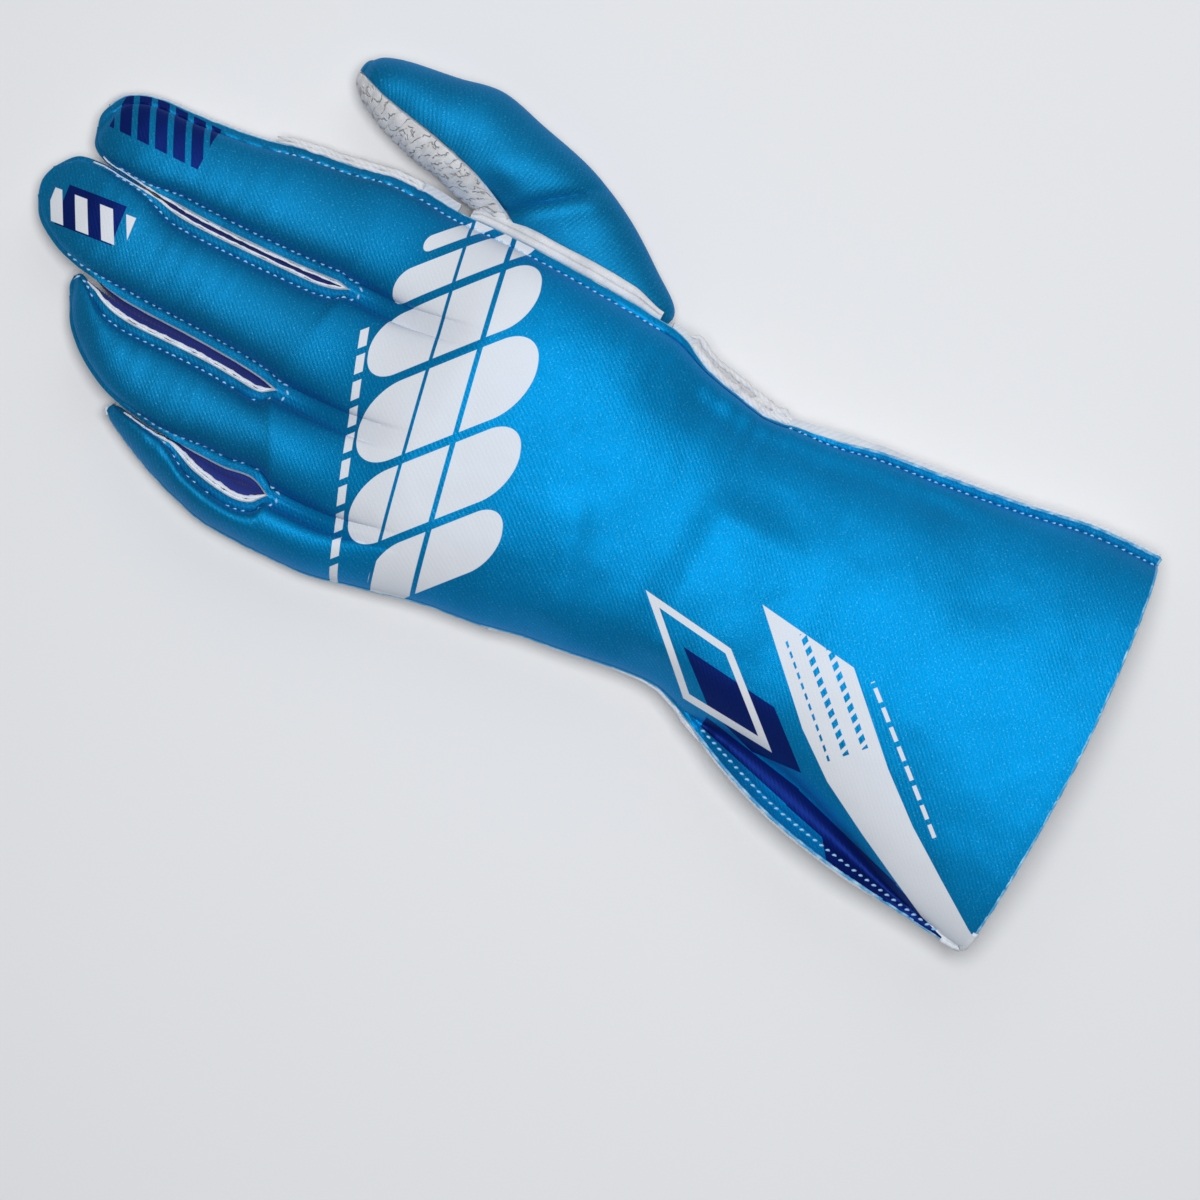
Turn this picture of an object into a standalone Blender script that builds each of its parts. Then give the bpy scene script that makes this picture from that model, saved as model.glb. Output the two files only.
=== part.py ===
"""A karting glove for the left hand, lying palm down with its back up.

Z is up, Y runs from the cuff to the fingertips and X to the thumb. Every panel is a sheet
lofted through the rows of a short table and given its thickness by a Solidify modifier.
"""

from collections import namedtuple

import bpy
import numpy as np

# Driving sizes, in metres
HAND_LENGTH = 0.200  # wrist line to the tip of the middle finger
HAND_WIDTH = 0.100  # between the two side seams, at the knuckles
DEPTH = 0.040  # floor to the highest point of the gauntlet
FINGER_DEPTH = 0.020  # the same for a finger
PLY = 0.0012  # back, palm and thumb fabric
WALL_PLY = 0.0010  # side walls between the fingers
WELT_PLY = 0.0008
FIT = 0.0003  # gap between pieces that are sewn together
ALLOWANCE = 0.0036  # seam allowance that stands outside the stitches
NARROW = 0.28  # most of a narrow fingertip that one allowance takes
WALL_OPEN = 0.0037  # how far a side wall parts the two panels, from the middle to each
FINGER_RISE = 0.0060  # crown of a finger over its seams
WELT_WIDTH = 0.0037
WELT_TUCK = 0.0022  # how far the lower layer of the welt runs in under the back
CUFF_SLANT = 0.0037  # how much farther the cuff reaches on the little finger's side
CUFF_SAG = 0.0022
PRESS = 0.0020  # how far the floor flattens the palm
PALM_LIFT = 0.0015  # the same for a finger
HALF_STACK = PLY + FIT / 2
BACK_ROUND = 2.3  # power of the back's section: 2 is an ellipse, more is squarer
PALM_ROUND = 4
OPEN_SHARE = 0.4  # share of a finger, from its tip, over which the two panels come together
LEVEL_SHARE = 0.3  # and over which its two seams reach one height
WALL_REACH = 0.85  # share of the allowance that a side wall's edges take

# Mesh steps
HAND_ROWS = 26
DOME_STEPS = 5
THUMB_STEPS = 7
BLEND_FROM = 0.45  # share of the way to the knuckles where the columns start to follow the fingers
KNUCKLE_FROM = 0.85  # and where the creases between the fingers start

# Cuff to knuckles. along: share of HAND_LENGTH; ulnar, radial: edges of the back panel, shares
# of HAND_WIDTH; seam_ulnar, seam_radial, top: heights, shares of DEPTH; palm_ulnar, palm_radial:
# how far the palm panel reaches past the back, shares of ALLOWANCE
Section = namedtuple(
    "Section", "along ulnar radial seam_ulnar seam_radial top palm_ulnar palm_radial"
)
SECTIONS = (
    Section(0.00, -0.622, 0.549, 0.48, 0.48, 1.00, 0.0, 0.3),
    Section(0.10, -0.606, 0.538, 0.48, 0.47, 0.97, 0.0, 0.3),
    Section(0.20, -0.588, 0.500, 0.47, 0.45, 0.94, 0.0, 0.3),
    Section(0.31, -0.546, 0.465, 0.45, 0.44, 0.90, 0.0, 0.4),
    Section(0.40, -0.484, 0.438, 0.43, 0.43, 0.86, 0.1, 0.5),
    Section(0.46, -0.430, 0.409, 0.42, 0.43, 0.84, 0.4, 0.7),
    Section(0.51, -0.396, 0.392, 0.40, 0.43, 0.83, 0.4, 1.0),
    Section(0.555, -0.400, 0.376, 0.39, 0.44, 0.83, 0.1, 1.2),
    Section(0.60, -0.415, 0.388, 0.38, 0.47, 0.84, 0.0, 1.2),
    Section(0.66, -0.437, 0.414, 0.37, 0.51, 0.86, 0.0, 1.0),
    Section(0.70, -0.449, 0.452, 0.36, 0.54, 0.87, 0.0, 0.5),
    Section(0.76, -0.478, 0.465, 0.35, 0.58, 0.89, 0.0, 0.3),
    Section(0.84, -0.503, 0.469, 0.33, 0.60, 0.90, 0.0, 0.3),
    Section(0.93, -0.550, 0.470, 0.31, 0.57, 0.87, 0.0, 0.3),
    Section(1.00, -0.585, 0.468, 0.29, 0.53, 0.82, 0.0, 0.4),
    Section(1.05, -0.592, 0.464, 0.28, 0.49, 0.76, 0.0, 0.5),
    Section(1.10, -0.595, 0.470, 0.27, 0.41, 0.68, 0.0, 0.5),
    Section(1.15, -0.595, 0.467, 0.26, 0.33, 0.60, 0.0, 0.5),
)

# Knuckle to tip, one table a finger. left, right: the two edges as shares of HAND_WIDTH and
# HAND_LENGTH; rise: crown as a share of FINGER_RISE
Joint = namedtuple("Joint", "left_x left_y right_x right_y rise")
PINKY = (
    Joint(-0.595, 1.070, -0.445, 1.0925, 1.20),
    Joint(-0.596, 1.100, -0.440, 1.120, 1.10),
    Joint(-0.595, 1.150, -0.442, 1.150, 1.00),
    Joint(-0.578, 1.190, -0.452, 1.190, 1.00),
    Joint(-0.555, 1.230, -0.454, 1.230, 1.00),
    Joint(-0.529, 1.265, -0.450, 1.265, 0.95),
    Joint(-0.500, 1.298, -0.443, 1.295, 0.80),
    Joint(-0.475, 1.322, -0.436, 1.318, 0.50),
    Joint(-0.455, 1.335, -0.433, 1.332, 0.00),
)
RING = (
    Joint(-0.445, 1.0925, -0.187, 1.1485, 1.25),
    Joint(-0.426, 1.120, -0.192, 1.170, 1.12),
    Joint(-0.427, 1.160, -0.187, 1.200, 1.00),
    Joint(-0.438, 1.200, -0.182, 1.240, 1.00),
    Joint(-0.438, 1.245, -0.180, 1.280, 1.00),
    Joint(-0.430, 1.285, -0.179, 1.320, 1.00),
    Joint(-0.420, 1.320, -0.179, 1.360, 1.00),
    Joint(-0.398, 1.356, -0.178, 1.400, 0.95),
    Joint(-0.355, 1.395, -0.172, 1.430, 0.82),
    Joint(-0.298, 1.429, -0.166, 1.450, 0.58),
    Joint(-0.232, 1.452, -0.180, 1.460, 0.00),
)
MIDDLE = (
    Joint(-0.187, 1.1485, 0.142, 1.127, 1.25),
    Joint(-0.178, 1.185, 0.122, 1.165, 1.12),
    Joint(-0.170, 1.235, 0.116, 1.215, 1.00),
    Joint(-0.163, 1.285, 0.112, 1.265, 1.00),
    Joint(-0.162, 1.335, 0.107, 1.315, 1.00),
    Joint(-0.161, 1.385, 0.105, 1.365, 1.00),
    Joint(-0.158, 1.430, 0.110, 1.415, 1.00),
    Joint(-0.145, 1.467, 0.114, 1.460, 0.95),
    Joint(-0.125, 1.500, 0.116, 1.496, 0.80),
    Joint(-0.085, 1.534, 0.102, 1.530, 0.52),
    Joint(-0.035, 1.554, 0.050, 1.554, 0.00),
)
INDEX = (
    Joint(0.142, 1.127, 0.468, 1.105, 1.25),
    Joint(0.132, 1.165, 0.463, 1.150, 1.12),
    Joint(0.126, 1.215, 0.436, 1.205, 1.00),
    Joint(0.122, 1.265, 0.417, 1.265, 1.00),
    Joint(0.118, 1.315, 0.385, 1.325, 1.00),
    Joint(0.117, 1.365, 0.368, 1.375, 1.00),
    Joint(0.119, 1.415, 0.357, 1.420, 1.00),
    Joint(0.125, 1.457, 0.350, 1.462, 0.95),
    Joint(0.131, 1.490, 0.335, 1.492, 0.80),
    Joint(0.155, 1.515, 0.305, 1.516, 0.52),
    Joint(0.200, 1.527, 0.262, 1.5275, 0.00),
)
# seam_left, seam_right: shares of FINGER_DEPTH; wall_left, wall_right: 1 where a side wall is
# sewn in; palm_left, palm_right: reach of the palm panel past the back, shares of ALLOWANCE
Finger = namedtuple(
    "Finger", "joints seam_left seam_right wall_left wall_right palm_left palm_right"
)
FINGERS = (
    Finger(PINKY, 0.40, 0.50, 0, 1, 0.0, 0.0),
    Finger(RING, 0.50, 0.50, 1, 1, 0.0, 0.0),
    Finger(MIDDLE, 0.50, 0.50, 1, 1, 0.0, 0.0),
    Finger(INDEX, 0.50, 0.62, 1, 0, 0.0, 0.4),
)

# Root of the thumb to its tip. inner, outer: shares of HAND_WIDTH and HAND_LENGTH; low, high:
# shares of FINGER_DEPTH; colour: turn from the inner edge up to the seam between the colours
Ring = namedtuple("Ring", "inner_x inner_y outer_x outer_y low high colour")
THUMB = (
    Ring(0.345, 0.985, 0.345, 0.775, 0.26, 0.80, 0.30),
    Ring(0.430, 1.000, 0.430, 0.755, 0.15, 0.84, 0.30),
    Ring(0.480, 1.014, 0.500, 0.735, 0.06, 0.88, 0.30),
    Ring(0.496, 1.030, 0.575, 0.782, 0.00, 0.93, 0.30),
    Ring(0.508, 1.055, 0.660, 0.847, -0.04, 1.00, 0.31),
    Ring(0.523, 1.082, 0.726, 0.922, -0.06, 1.12, 0.32),
    Ring(0.534, 1.108, 0.763, 1.002, -0.06, 1.12, 0.33),
    Ring(0.546, 1.145, 0.792, 1.072, -0.06, 1.10, 0.34),
    Ring(0.570, 1.184, 0.768, 1.132, -0.04, 1.06, 0.35),
    Ring(0.593, 1.210, 0.746, 1.195, 0.00, 1.00, 0.37),
    Ring(0.613, 1.230, 0.725, 1.229, 0.10, 0.90, 0.42),
    Ring(0.637, 1.243, 0.702, 1.243, 0.22, 0.74, 0.46),
)
THUMB_TIP = (0.669, 1.249, 0.48)
UNDER_TURN = 1.14  # where the colours meet again under the outer edge, in half turns
SEAM_TURN = 0.007  # half of the gap there, in half turns

# The side opening of the palm that the thumb grows out of, shares of HAND_LENGTH
THUMB_FROM = 0.725
THUMB_TO = 1.05
THUMB_COLUMNS = 3  # columns of the palm left out there, counted from its edge
WELT_FROM = 0.742
WELT_TO = 1.030
WELT_ROWS = 16
WELT_THIN = 0.45  # share of its width that the welt keeps at its two ends
WELT_START = 0.05  # length of the tapers there, shares of HAND_LENGTH
WELT_STOP = 0.02

# Section of the folded welt, outward and up, as shares of WELT_WIDTH and PLY
Fold = namedtuple("Fold", "out up")
WELT_FOLD = (
    Fold(0.20, 0.62),
    Fold(0.78, 0.62),
    Fold(0.95, 0.38),
    Fold(1.00, 0.08),
    Fold(0.95, -0.22),
    Fold(0.78, -0.50),
    Fold(0.05, -0.50),
)


def smooth(at, positions, values):
    """A cubic through the table's values, its slopes taken from the rows on both sides."""
    positions, values = np.asarray(positions, float), np.asarray(values, float)
    slopes = np.gradient(values, positions)
    k = np.clip(np.searchsorted(positions, at) - 1, 0, len(positions) - 2)
    step = positions[k + 1] - positions[k]
    t = np.clip((at - positions[k]) / step, 0.0, 1.0)
    rise = (3 - 2 * t) * t * t
    return (
        values[k] * (1 - rise)
        + values[k + 1] * rise
        + step * slopes[k] * t * (1 - t) ** 2
        - step * slopes[k + 1] * t * t * (1 - t)
    )


def ease(x):
    x = np.clip(x, 0.0, 1.0)
    return x * x * (3 - 2 * x)


def column(rows, name):
    return np.array([getattr(row, name) for row in rows])


def section(along, name, size):
    return size * smooth(along / HAND_LENGTH, column(SECTIONS, "along"), column(SECTIONS, name))


class Sheet:
    """Points and faces of one open surface."""

    def __init__(self):
        self.points = []
        self.faces = []

    def add(self, points):
        """Adds an array of points and gives back their numbers in the same layout."""
        points = np.asarray(points, float)
        first = len(self.points)
        self.points.extend(map(tuple, points.reshape(-1, 3)))
        return first + np.arange(len(self.points) - first).reshape(points.shape[:-1])

    def quads(self, ids, turned=False):
        for low, high in zip(ids[:-1], ids[1:]):
            for k in range(len(low) - 1):
                face = [low[k], low[k + 1], high[k + 1], high[k]]
                face = [int(n) for n in face]
                self.faces.append(face[::-1] if turned else face)

    def drop(self, keep):
        """Leaves out the faces for which keep(face, centre) is false."""
        points = np.array(self.points)
        self.faces = [face for face in self.faces if keep(face, points[face].mean(axis=0))]


def dome_shares():
    turn = np.linspace(-np.pi / 2, np.pi / 2, DOME_STEPS + 1)
    return (1 + np.sin(turn)) / 2, np.cos(turn)


def outline(finger):
    """The outer edge of a finger, from its left crotch over the tip to its right one."""
    joints = finger.joints
    left = np.stack([column(joints, "left_x"), column(joints, "left_y")], axis=1)
    right = np.stack([column(joints, "right_x"), column(joints, "right_y")], axis=1)
    shares, _ = dome_shares()
    top = left[-1] + (right[-1] - left[-1]) * shares[:, None]
    size = np.array([HAND_WIDTH, HAND_LENGTH])
    return left * size, top * size, right * size


def inset(left, top, right):
    """The stitch line, an allowance in from the outer edge and square to it."""
    path = np.concatenate([left[:-1], top, right[-2::-1]])
    along = np.gradient(path, axis=0)
    along /= np.linalg.norm(along, axis=1)[:, None]
    inward = np.stack([along[:, 1], -along[:, 0]], axis=1)
    across = np.linalg.norm(right - left, axis=1)
    width = np.concatenate([across[:-1], np.full(len(top), across[-2]), across[-2::-1]])
    depth = np.minimum(ALLOWANCE, NARROW * width)
    inner = path + inward * depth[:, None]
    rows = len(left) - 1
    return inner[:rows], inner[rows : rows + len(top)], inner[rows + len(top) :][::-1]


def finger_seams(finger, side):
    """Heights of the panel's allowances on the left and right of each row."""
    rows = len(finger.joints)
    opened = ease((1 - np.linspace(0, 1, rows)) / OPEN_SHARE)
    left = FINGER_DEPTH * finger.seam_left
    right = FINGER_DEPTH * finger.seam_right
    middle = (left + right) / 2
    level = ease((1 - np.linspace(0, 1, rows)) / LEVEL_SHARE)
    low = middle + (left - middle) * level
    high = middle + (right - middle) * level
    return (
        low + side * (HALF_STACK + WALL_OPEN * finger.wall_left * opened),
        high + side * (HALF_STACK + WALL_OPEN * finger.wall_right * opened),
    )


def finger_grid(finger, side):
    """Edge points and dome points of one finger of the back (side 1) or the palm (side -1)."""
    left, top, right = outline(finger)
    inner_left, inner_top, inner_right = inset(left, top, right)
    shares, crown = dome_shares()
    rows = len(finger.joints)
    dome = np.zeros((rows, DOME_STEPS + 1, 2))
    for row in range(rows - 1):
        dome[row] = inner_left[row] + (inner_right[row] - inner_left[row]) * shares[:, None]
    dome[-1] = inner_top
    if side < 0:
        left = left + (left - dome[:, 0]) * finger.palm_left
        right = right + (right - dome[:, -1]) * finger.palm_right
    low, high = finger_seams(finger, side)
    level = low[:, None] + (high - low)[:, None] * shares[None, :]
    rise = column(finger.joints, "rise")[:, None]
    if side > 0:
        height = level + FINGER_RISE * rise * crown[None, :]
    else:
        fall = (level + PALM_LIFT) * np.sqrt(crown[None, :]) * np.minimum(rise, 1.0)
        height = np.maximum(level - fall, 0.0)
    return (
        np.column_stack([left, low]),
        np.dstack([dome, height]),
        np.column_stack([right, high]),
        np.column_stack([top, level[-1]]),
    )


def knuckle_row(side):
    """The last row of the hand, which the fingers start from."""
    row = []
    for finger in FINGERS:
        left, dome, right, _ = finger_grid(finger, side)
        row.extend([left[0], *dome[0]])
    row.append(right[0])
    return np.array(row)


def hand_grid(side):
    """Cuff to knuckles, as rows of points from the little finger's side to the thumb's."""
    last = knuckle_row(side)
    count = len(last)
    wide = section(last[:, 1], "radial", HAND_WIDTH) - section(last[:, 1], "ulnar", HAND_WIDTH)
    at_knuckles = (last[:, 0] - section(last[:, 1], "ulnar", HAND_WIDTH)) / wide
    turn = np.linspace(-np.pi / 2, np.pi / 2, count - 2)
    even = np.concatenate([[0.0], (1 + np.sin(turn)) / 2, [1.0]])
    cuff = CUFF_SLANT * even - CUFF_SAG * (1 + np.sin(np.pi * even))
    rows = []
    for share in np.linspace(0, 1, HAND_ROWS + 1)[:-1]:
        y = cuff + (last[:, 1] - cuff) * share
        ulnar = section(y, "ulnar", HAND_WIDTH)
        width = section(y, "radial", HAND_WIDTH) - ulnar
        edge = ALLOWANCE / width
        inside = edge + (1 - 2 * edge) * even
        inside[0], inside[-1] = 0.0, 1.0
        part = inside + (at_knuckles - inside) * ease((share - BLEND_FROM) / (1 - BLEND_FROM))
        part[0], part[1] = 0.0, edge[1]
        part[-2], part[-1] = 1 - edge[-2], 1.0
        across = np.clip(2 * (part - edge) / (1 - 2 * edge) - 1, -1.0, 1.0)
        low, high = section(y, "seam_ulnar", DEPTH), section(y, "seam_radial", DEPTH)
        seam = low + (high - low) * part
        x = ulnar + width * part
        if side > 0:
            crown = section(y, "top", DEPTH) - (low + high) / 2
            z = seam + HALF_STACK + crown * np.sqrt(1 - np.abs(across) ** BACK_ROUND)
        else:
            fall = (seam + PRESS) * (1 - across**PALM_ROUND) ** (1 / PALM_ROUND)
            z = np.maximum(seam - HALF_STACK - fall, 0.0)
            x[0] -= ALLOWANCE * section(y[0], "palm_ulnar", 1.0)
            x[-1] += ALLOWANCE * section(y[-1], "palm_radial", 1.0)
        crease = ease((share - KNUCKLE_FROM) / (1 - KNUCKLE_FROM))
        rows.append(np.column_stack([x, y, z + (last[:, 2] - z) * crease]))
    return np.array(rows + [last])


def panel(side):
    """The whole back (side 1) or palm (side -1), in one sheet."""
    sheet = Sheet()
    hand = sheet.add(hand_grid(side))
    sheet.quads(hand, side < 0)
    width = DOME_STEPS + 2
    for number, finger in enumerate(FINGERS):
        left, dome, right, top = finger_grid(finger, side)
        base = hand[-1, number * width : (number + 1) * width + 1]
        left = np.concatenate([base[:1], sheet.add(left[1:])])
        right = np.concatenate([base[-1:], sheet.add(right[1:])])
        dome = np.concatenate([base[None, 1:-1], sheet.add(dome[1:])])
        top = np.concatenate([left[-1:], sheet.add(top[1:-1]), right[-1:]])
        sheet.quads(np.column_stack([left, dome, right]), side < 0)
        sheet.quads(np.array([dome[-1], top]), side < 0)
    return sheet


def palm_panel():
    sheet = panel(-1)
    count = len(FINGERS) * (DOME_STEPS + 2) + 1
    hand = (HAND_ROWS + 1) * count

    def kept(face, centre):
        at_edge = all(n < hand and n % count >= count - 1 - THUMB_COLUMNS for n in face)
        share = centre[1] / HAND_LENGTH
        return not (at_edge and THUMB_FROM < share < THUMB_TO)

    sheet.drop(kept)
    return sheet


def side_wall(left_finger, right_finger):
    """The strip between two fingers: down one side, round the crotch and up the other."""
    up, down = [], []
    for finger, hand in ((left_finger, "right"), (right_finger, "left")):
        outer = outline(finger)
        inner = inset(*outer)
        back, palm = finger_seams(finger, 1), finger_seams(finger, -1)
        which = 2 if hand == "right" else 0
        seam = 1 if hand == "right" else 0
        last = int(np.sum(back[seam] - palm[seam] > 2 * (HALF_STACK + WALL_PLY + 4 * FIT))) - 1
        strip = [
            (outer[which][row], inner[which][row], back[seam][row], palm[seam][row])
            for row in range(last + 1)
        ]
        (up if hand == "right" else down).extend(strip)
    crotch, _, high, low = up[0]
    below = crotch - np.array([0.0, ALLOWANCE])
    path = up[::-1] + [(crotch, below, high, low)] + down
    shift = PLY + FIT + WALL_PLY / 2
    rows = []
    for outer, inner, high, low in path:
        free = inner + (outer - inner) * WALL_REACH
        high, low = high - shift, low + shift
        heights = ((free, high), (inner, high), (inner, (high + low) / 2), (inner, low), (free, low))
        rows.append([(*place, z) for place, z in heights])
    sheet = Sheet()
    sheet.quads(sheet.add(rows))
    return sheet


def thumb_panel(first, last, inward):
    """The inner face of the thumb between two turns, which may change along it."""
    steps = np.linspace(0, 1, THUMB_STEPS + 1)
    rows = []
    for ring, start, end in zip(THUMB, first, last):
        turn = (start + (end - start) * steps) * np.pi
        inner = np.array([ring.inner_x * HAND_WIDTH, ring.inner_y * HAND_LENGTH])
        outer = np.array([ring.outer_x * HAND_WIDTH, ring.outer_y * HAND_LENGTH])
        place = (inner + outer) / 2 + (inner - outer) / 2 * np.cos(turn)[:, None]
        middle, half = (ring.high + ring.low) / 2, (ring.high - ring.low) / 2
        height = FINGER_DEPTH * (middle + half * np.sin(turn))
        rows.append(np.column_stack([place, np.maximum(height, PLY)]))
    sheet = Sheet()
    ids = sheet.add(rows)
    sheet.quads(ids)
    size = np.array([HAND_WIDTH, HAND_LENGTH, FINGER_DEPTH])
    tip = sheet.add([np.array(THUMB_TIP) * size + np.array([inward, 0.0, 0.0])])
    for k in range(THUMB_STEPS):
        sheet.faces.append([int(ids[-1, k]), int(ids[-1, k + 1]), int(tip[0])])
    return sheet


def welt():
    """The folded strip that edges the back panel beside the thumb."""
    edge = hand_grid(1)[:, -1]
    rows = []
    for share in np.linspace(WELT_FROM, WELT_TO, WELT_ROWS):
        y = share * HAND_LENGTH
        x = np.interp(y, edge[:, 1], edge[:, 0])
        z = np.interp(y, edge[:, 1], edge[:, 2]) - HALF_STACK
        ends = ease((share - WELT_FROM) / WELT_START) * ease((WELT_TO - share) / WELT_STOP)
        row = []
        for fold in WELT_FOLD:
            out = FIT + fold.out * WELT_WIDTH * (WELT_THIN + (1 - WELT_THIN) * ends)
            if fold.out < WELT_FOLD[0].out:
                out = -WELT_TUCK
            row.append((x + out, y, z + fold.up * PLY))
        rows.append(row)
    sheet = Sheet()
    sheet.quads(sheet.add(rows))
    return sheet


def material(name, colour, roughness):
    made = bpy.data.materials.new(name)
    made.use_nodes = True
    shader = made.node_tree.nodes["Principled BSDF"]
    shader.inputs["Base Color"].default_value = (*colour, 1.0)
    shader.inputs["Roughness"].default_value = roughness
    shader.inputs["Metallic"].default_value = 0.0
    return made


def solid(name, sheet, ply, offset, colour, roughness, collection):
    mesh = bpy.data.meshes.new(name)
    used = sorted({n for face in sheet.faces for n in face})
    number = {old: new for new, old in enumerate(used)}
    points = [sheet.points[n] for n in used]
    mesh.from_pydata(points, [], [[number[n] for n in face] for face in sheet.faces])
    mesh.validate()
    mesh.shade_smooth()
    made = bpy.data.objects.new(name, mesh)
    collection.objects.link(made)
    made.data.materials.append(material(name, colour, roughness))
    thick = made.modifiers.new("Fabric", "SOLIDIFY")
    thick.thickness = ply
    thick.offset = offset
    return made


def centre_on_floor(pieces):
    """Moves all meshes so that the glove's box stands centred over the origin."""
    low = np.full(3, np.inf)
    high = -low
    for piece in pieces:
        piece.data.update()
        for vertex in piece.data.vertices:
            low, high = np.minimum(low, vertex.co), np.maximum(high, vertex.co)
    middle = (low + high) / 2
    for piece in pieces:
        for vertex in piece.data.vertices:
            vertex.co.x -= middle[0]
            vertex.co.y -= middle[1]


def main():
    for old in list(bpy.data.objects):
        bpy.data.objects.remove(old)
    glove = bpy.data.collections.new("karting_glove")
    bpy.context.scene.collection.children.link(glove)
    blue, navy, white = (0.0, 0.30, 0.62), (0.01, 0.04, 0.35), (0.82, 0.83, 0.85)
    colour = column(THUMB, "colour")
    under = np.full(len(THUMB), UNDER_TURN)
    pinky, ring, middle, index = FINGERS
    pieces = [
        solid("back_panel", panel(1), PLY, -1.0, blue, 0.8, glove),
        solid("palm_panel", palm_panel(), PLY, -1.0, white, 0.7, glove),
        solid("fourchette_ring_pinky", side_wall(pinky, ring), WALL_PLY, 0.0, navy, 0.8, glove),
        solid("fourchette_middle_ring", side_wall(ring, middle), WALL_PLY, 0.0, navy, 0.8, glove),
        solid("fourchette_index_middle", side_wall(middle, index), WALL_PLY, 0.0, navy, 0.8, glove),
        solid(
            "thumb_back",
            thumb_panel(colour + SEAM_TURN, under - SEAM_TURN, FIT),
            PLY, 1.0, blue, 0.8, glove,
        ),
        solid(
            "thumb_palm",
            thumb_panel(under + SEAM_TURN, colour - SEAM_TURN + 2.0, -FIT),
            PLY, 1.0, white, 0.7, glove,
        ),
        solid("radial_welt", welt(), WELT_PLY, 0.0, white, 0.7, glove),
    ]
    centre_on_floor(pieces)


main()
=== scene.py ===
"""A karting glove for the left hand, lying palm down with its back up.

Lengths are millimetres on the glove's plan: x to the thumb, y from the cuff to the fingertips and
z up from the floor. The tables of outlines hold shares of the hand's sizes, as the part does.
"""

import math
from collections import namedtuple

import bpy
import numpy as np
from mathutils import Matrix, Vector, noise
from mathutils.bvhtree import BVHTree


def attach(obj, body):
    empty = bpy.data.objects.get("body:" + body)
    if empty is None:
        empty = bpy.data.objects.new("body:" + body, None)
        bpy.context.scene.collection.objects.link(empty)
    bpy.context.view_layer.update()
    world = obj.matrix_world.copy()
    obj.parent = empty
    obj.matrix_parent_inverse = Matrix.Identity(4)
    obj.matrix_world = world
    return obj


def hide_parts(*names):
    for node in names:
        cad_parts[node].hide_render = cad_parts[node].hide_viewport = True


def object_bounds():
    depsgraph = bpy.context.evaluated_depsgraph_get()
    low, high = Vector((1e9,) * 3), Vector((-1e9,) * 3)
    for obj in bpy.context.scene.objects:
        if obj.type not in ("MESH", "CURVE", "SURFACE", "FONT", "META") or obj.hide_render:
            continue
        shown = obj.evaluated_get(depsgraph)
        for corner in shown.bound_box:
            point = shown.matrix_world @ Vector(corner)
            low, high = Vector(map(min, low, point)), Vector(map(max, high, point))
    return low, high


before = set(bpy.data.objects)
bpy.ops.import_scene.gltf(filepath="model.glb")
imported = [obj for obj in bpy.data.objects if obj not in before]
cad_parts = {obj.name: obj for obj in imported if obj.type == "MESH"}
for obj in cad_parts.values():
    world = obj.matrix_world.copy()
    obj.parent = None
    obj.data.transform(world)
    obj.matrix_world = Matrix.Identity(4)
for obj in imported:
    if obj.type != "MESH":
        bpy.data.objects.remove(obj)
cad_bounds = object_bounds()

MILLIMETRE = 0.001
PLAN_ORIGIN = np.array([7.316, 152.821, 0.0])  # the frame's origin on the plan

# Sizes of the hand, as in the part
HAND_LENGTH = 200.0
HAND_WIDTH = 100.0
DEPTH = 40.0
FINGER_DEPTH = 20.0
PLY = 1.2
WALL_PLY = 1.0
WELT_PLY = 0.8
FIT = 0.3
ALLOWANCE = 3.6
NARROW = 0.28
WALL_OPEN = 3.7
FINGER_RISE = 6.0
WELT_WIDTH = 3.7
WELT_TUCK = 2.2
CUFF_SLANT = 3.7
CUFF_SAG = 2.2
PRESS = 2.0
PALM_LIFT = 1.5
HALF_STACK = PLY + FIT / 2
PALM_ROUND = 4
OPEN_SHARE = 0.4
LEVEL_SHARE = 0.3
WALL_REACH = 0.85
BLEND_FROM = 0.45
KNUCKLE_FROM = 0.82

# How the fabric lies
TURN_UP = 0.7  # how far the raw edges curl up
HEM = 0.72  # share of ALLOWANCE that lies flat between the cut edge and the stitches
ROLLED = 0.18  # the same where the fabric rolls over its seam
ROLL_DOWN = -0.8  # how far the cut edge turns down there
PALM_BACK = 0.7  # how far the palm's edge stays inside the rolled fabric
SLOT_SETBACK = 1.0  # how far a slot is cut in beyond the outline's own corner
EDGE_SETBACK = 0.2
LAP = 0.5  # how far two fingers close the gap between them above a slot
CROTCH_ROUND = 3.5  # length over which a slot rounds off at its end
RIBBON = 0.52  # radius of the white cords along a slot
WALL_BOWS = (1.9, 1.5, 1.25)  # how far the side walls bulge into their slots, share of the hem
WALL_AT_TIP = 0.6  # the same beyond the end of a slot
SLOT_FADE = 18.0  # length over which a slot narrows to nothing
STITCH_PULL = 0.45  # how deep the thread pulls the fabric in
PUCKER = 0.30  # height of the small puckers along the stitches
PUCKER_LENGTH = 6.0
PUCKER_REACH = 6.0
TIP_ROUND = 0.12  # how far the edge at a fingertip bulges, share of its length
FINGER_DROOP = 4.0  # how much lower the crown lies at a fingertip than at the knuckles
CORNER = 2.6  # radius of the cuff's rounded corner
CUFF_WIDE = 1.17  # width of the cuff's end, share of HAND_WIDTH
VALLEY = 2.6  # depth of the fold beside the raised flange of the cuff

SATIN = 0.62  # how much of the blue fabric's light comes back as a satin gloss

# Stitches and print
STITCH_PITCH = 2.2
STITCH_SLANT = math.radians(30)
THREAD = 0.36  # radius
PRINT_EDGE = 0.12  # width of a print's soft edge

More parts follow.
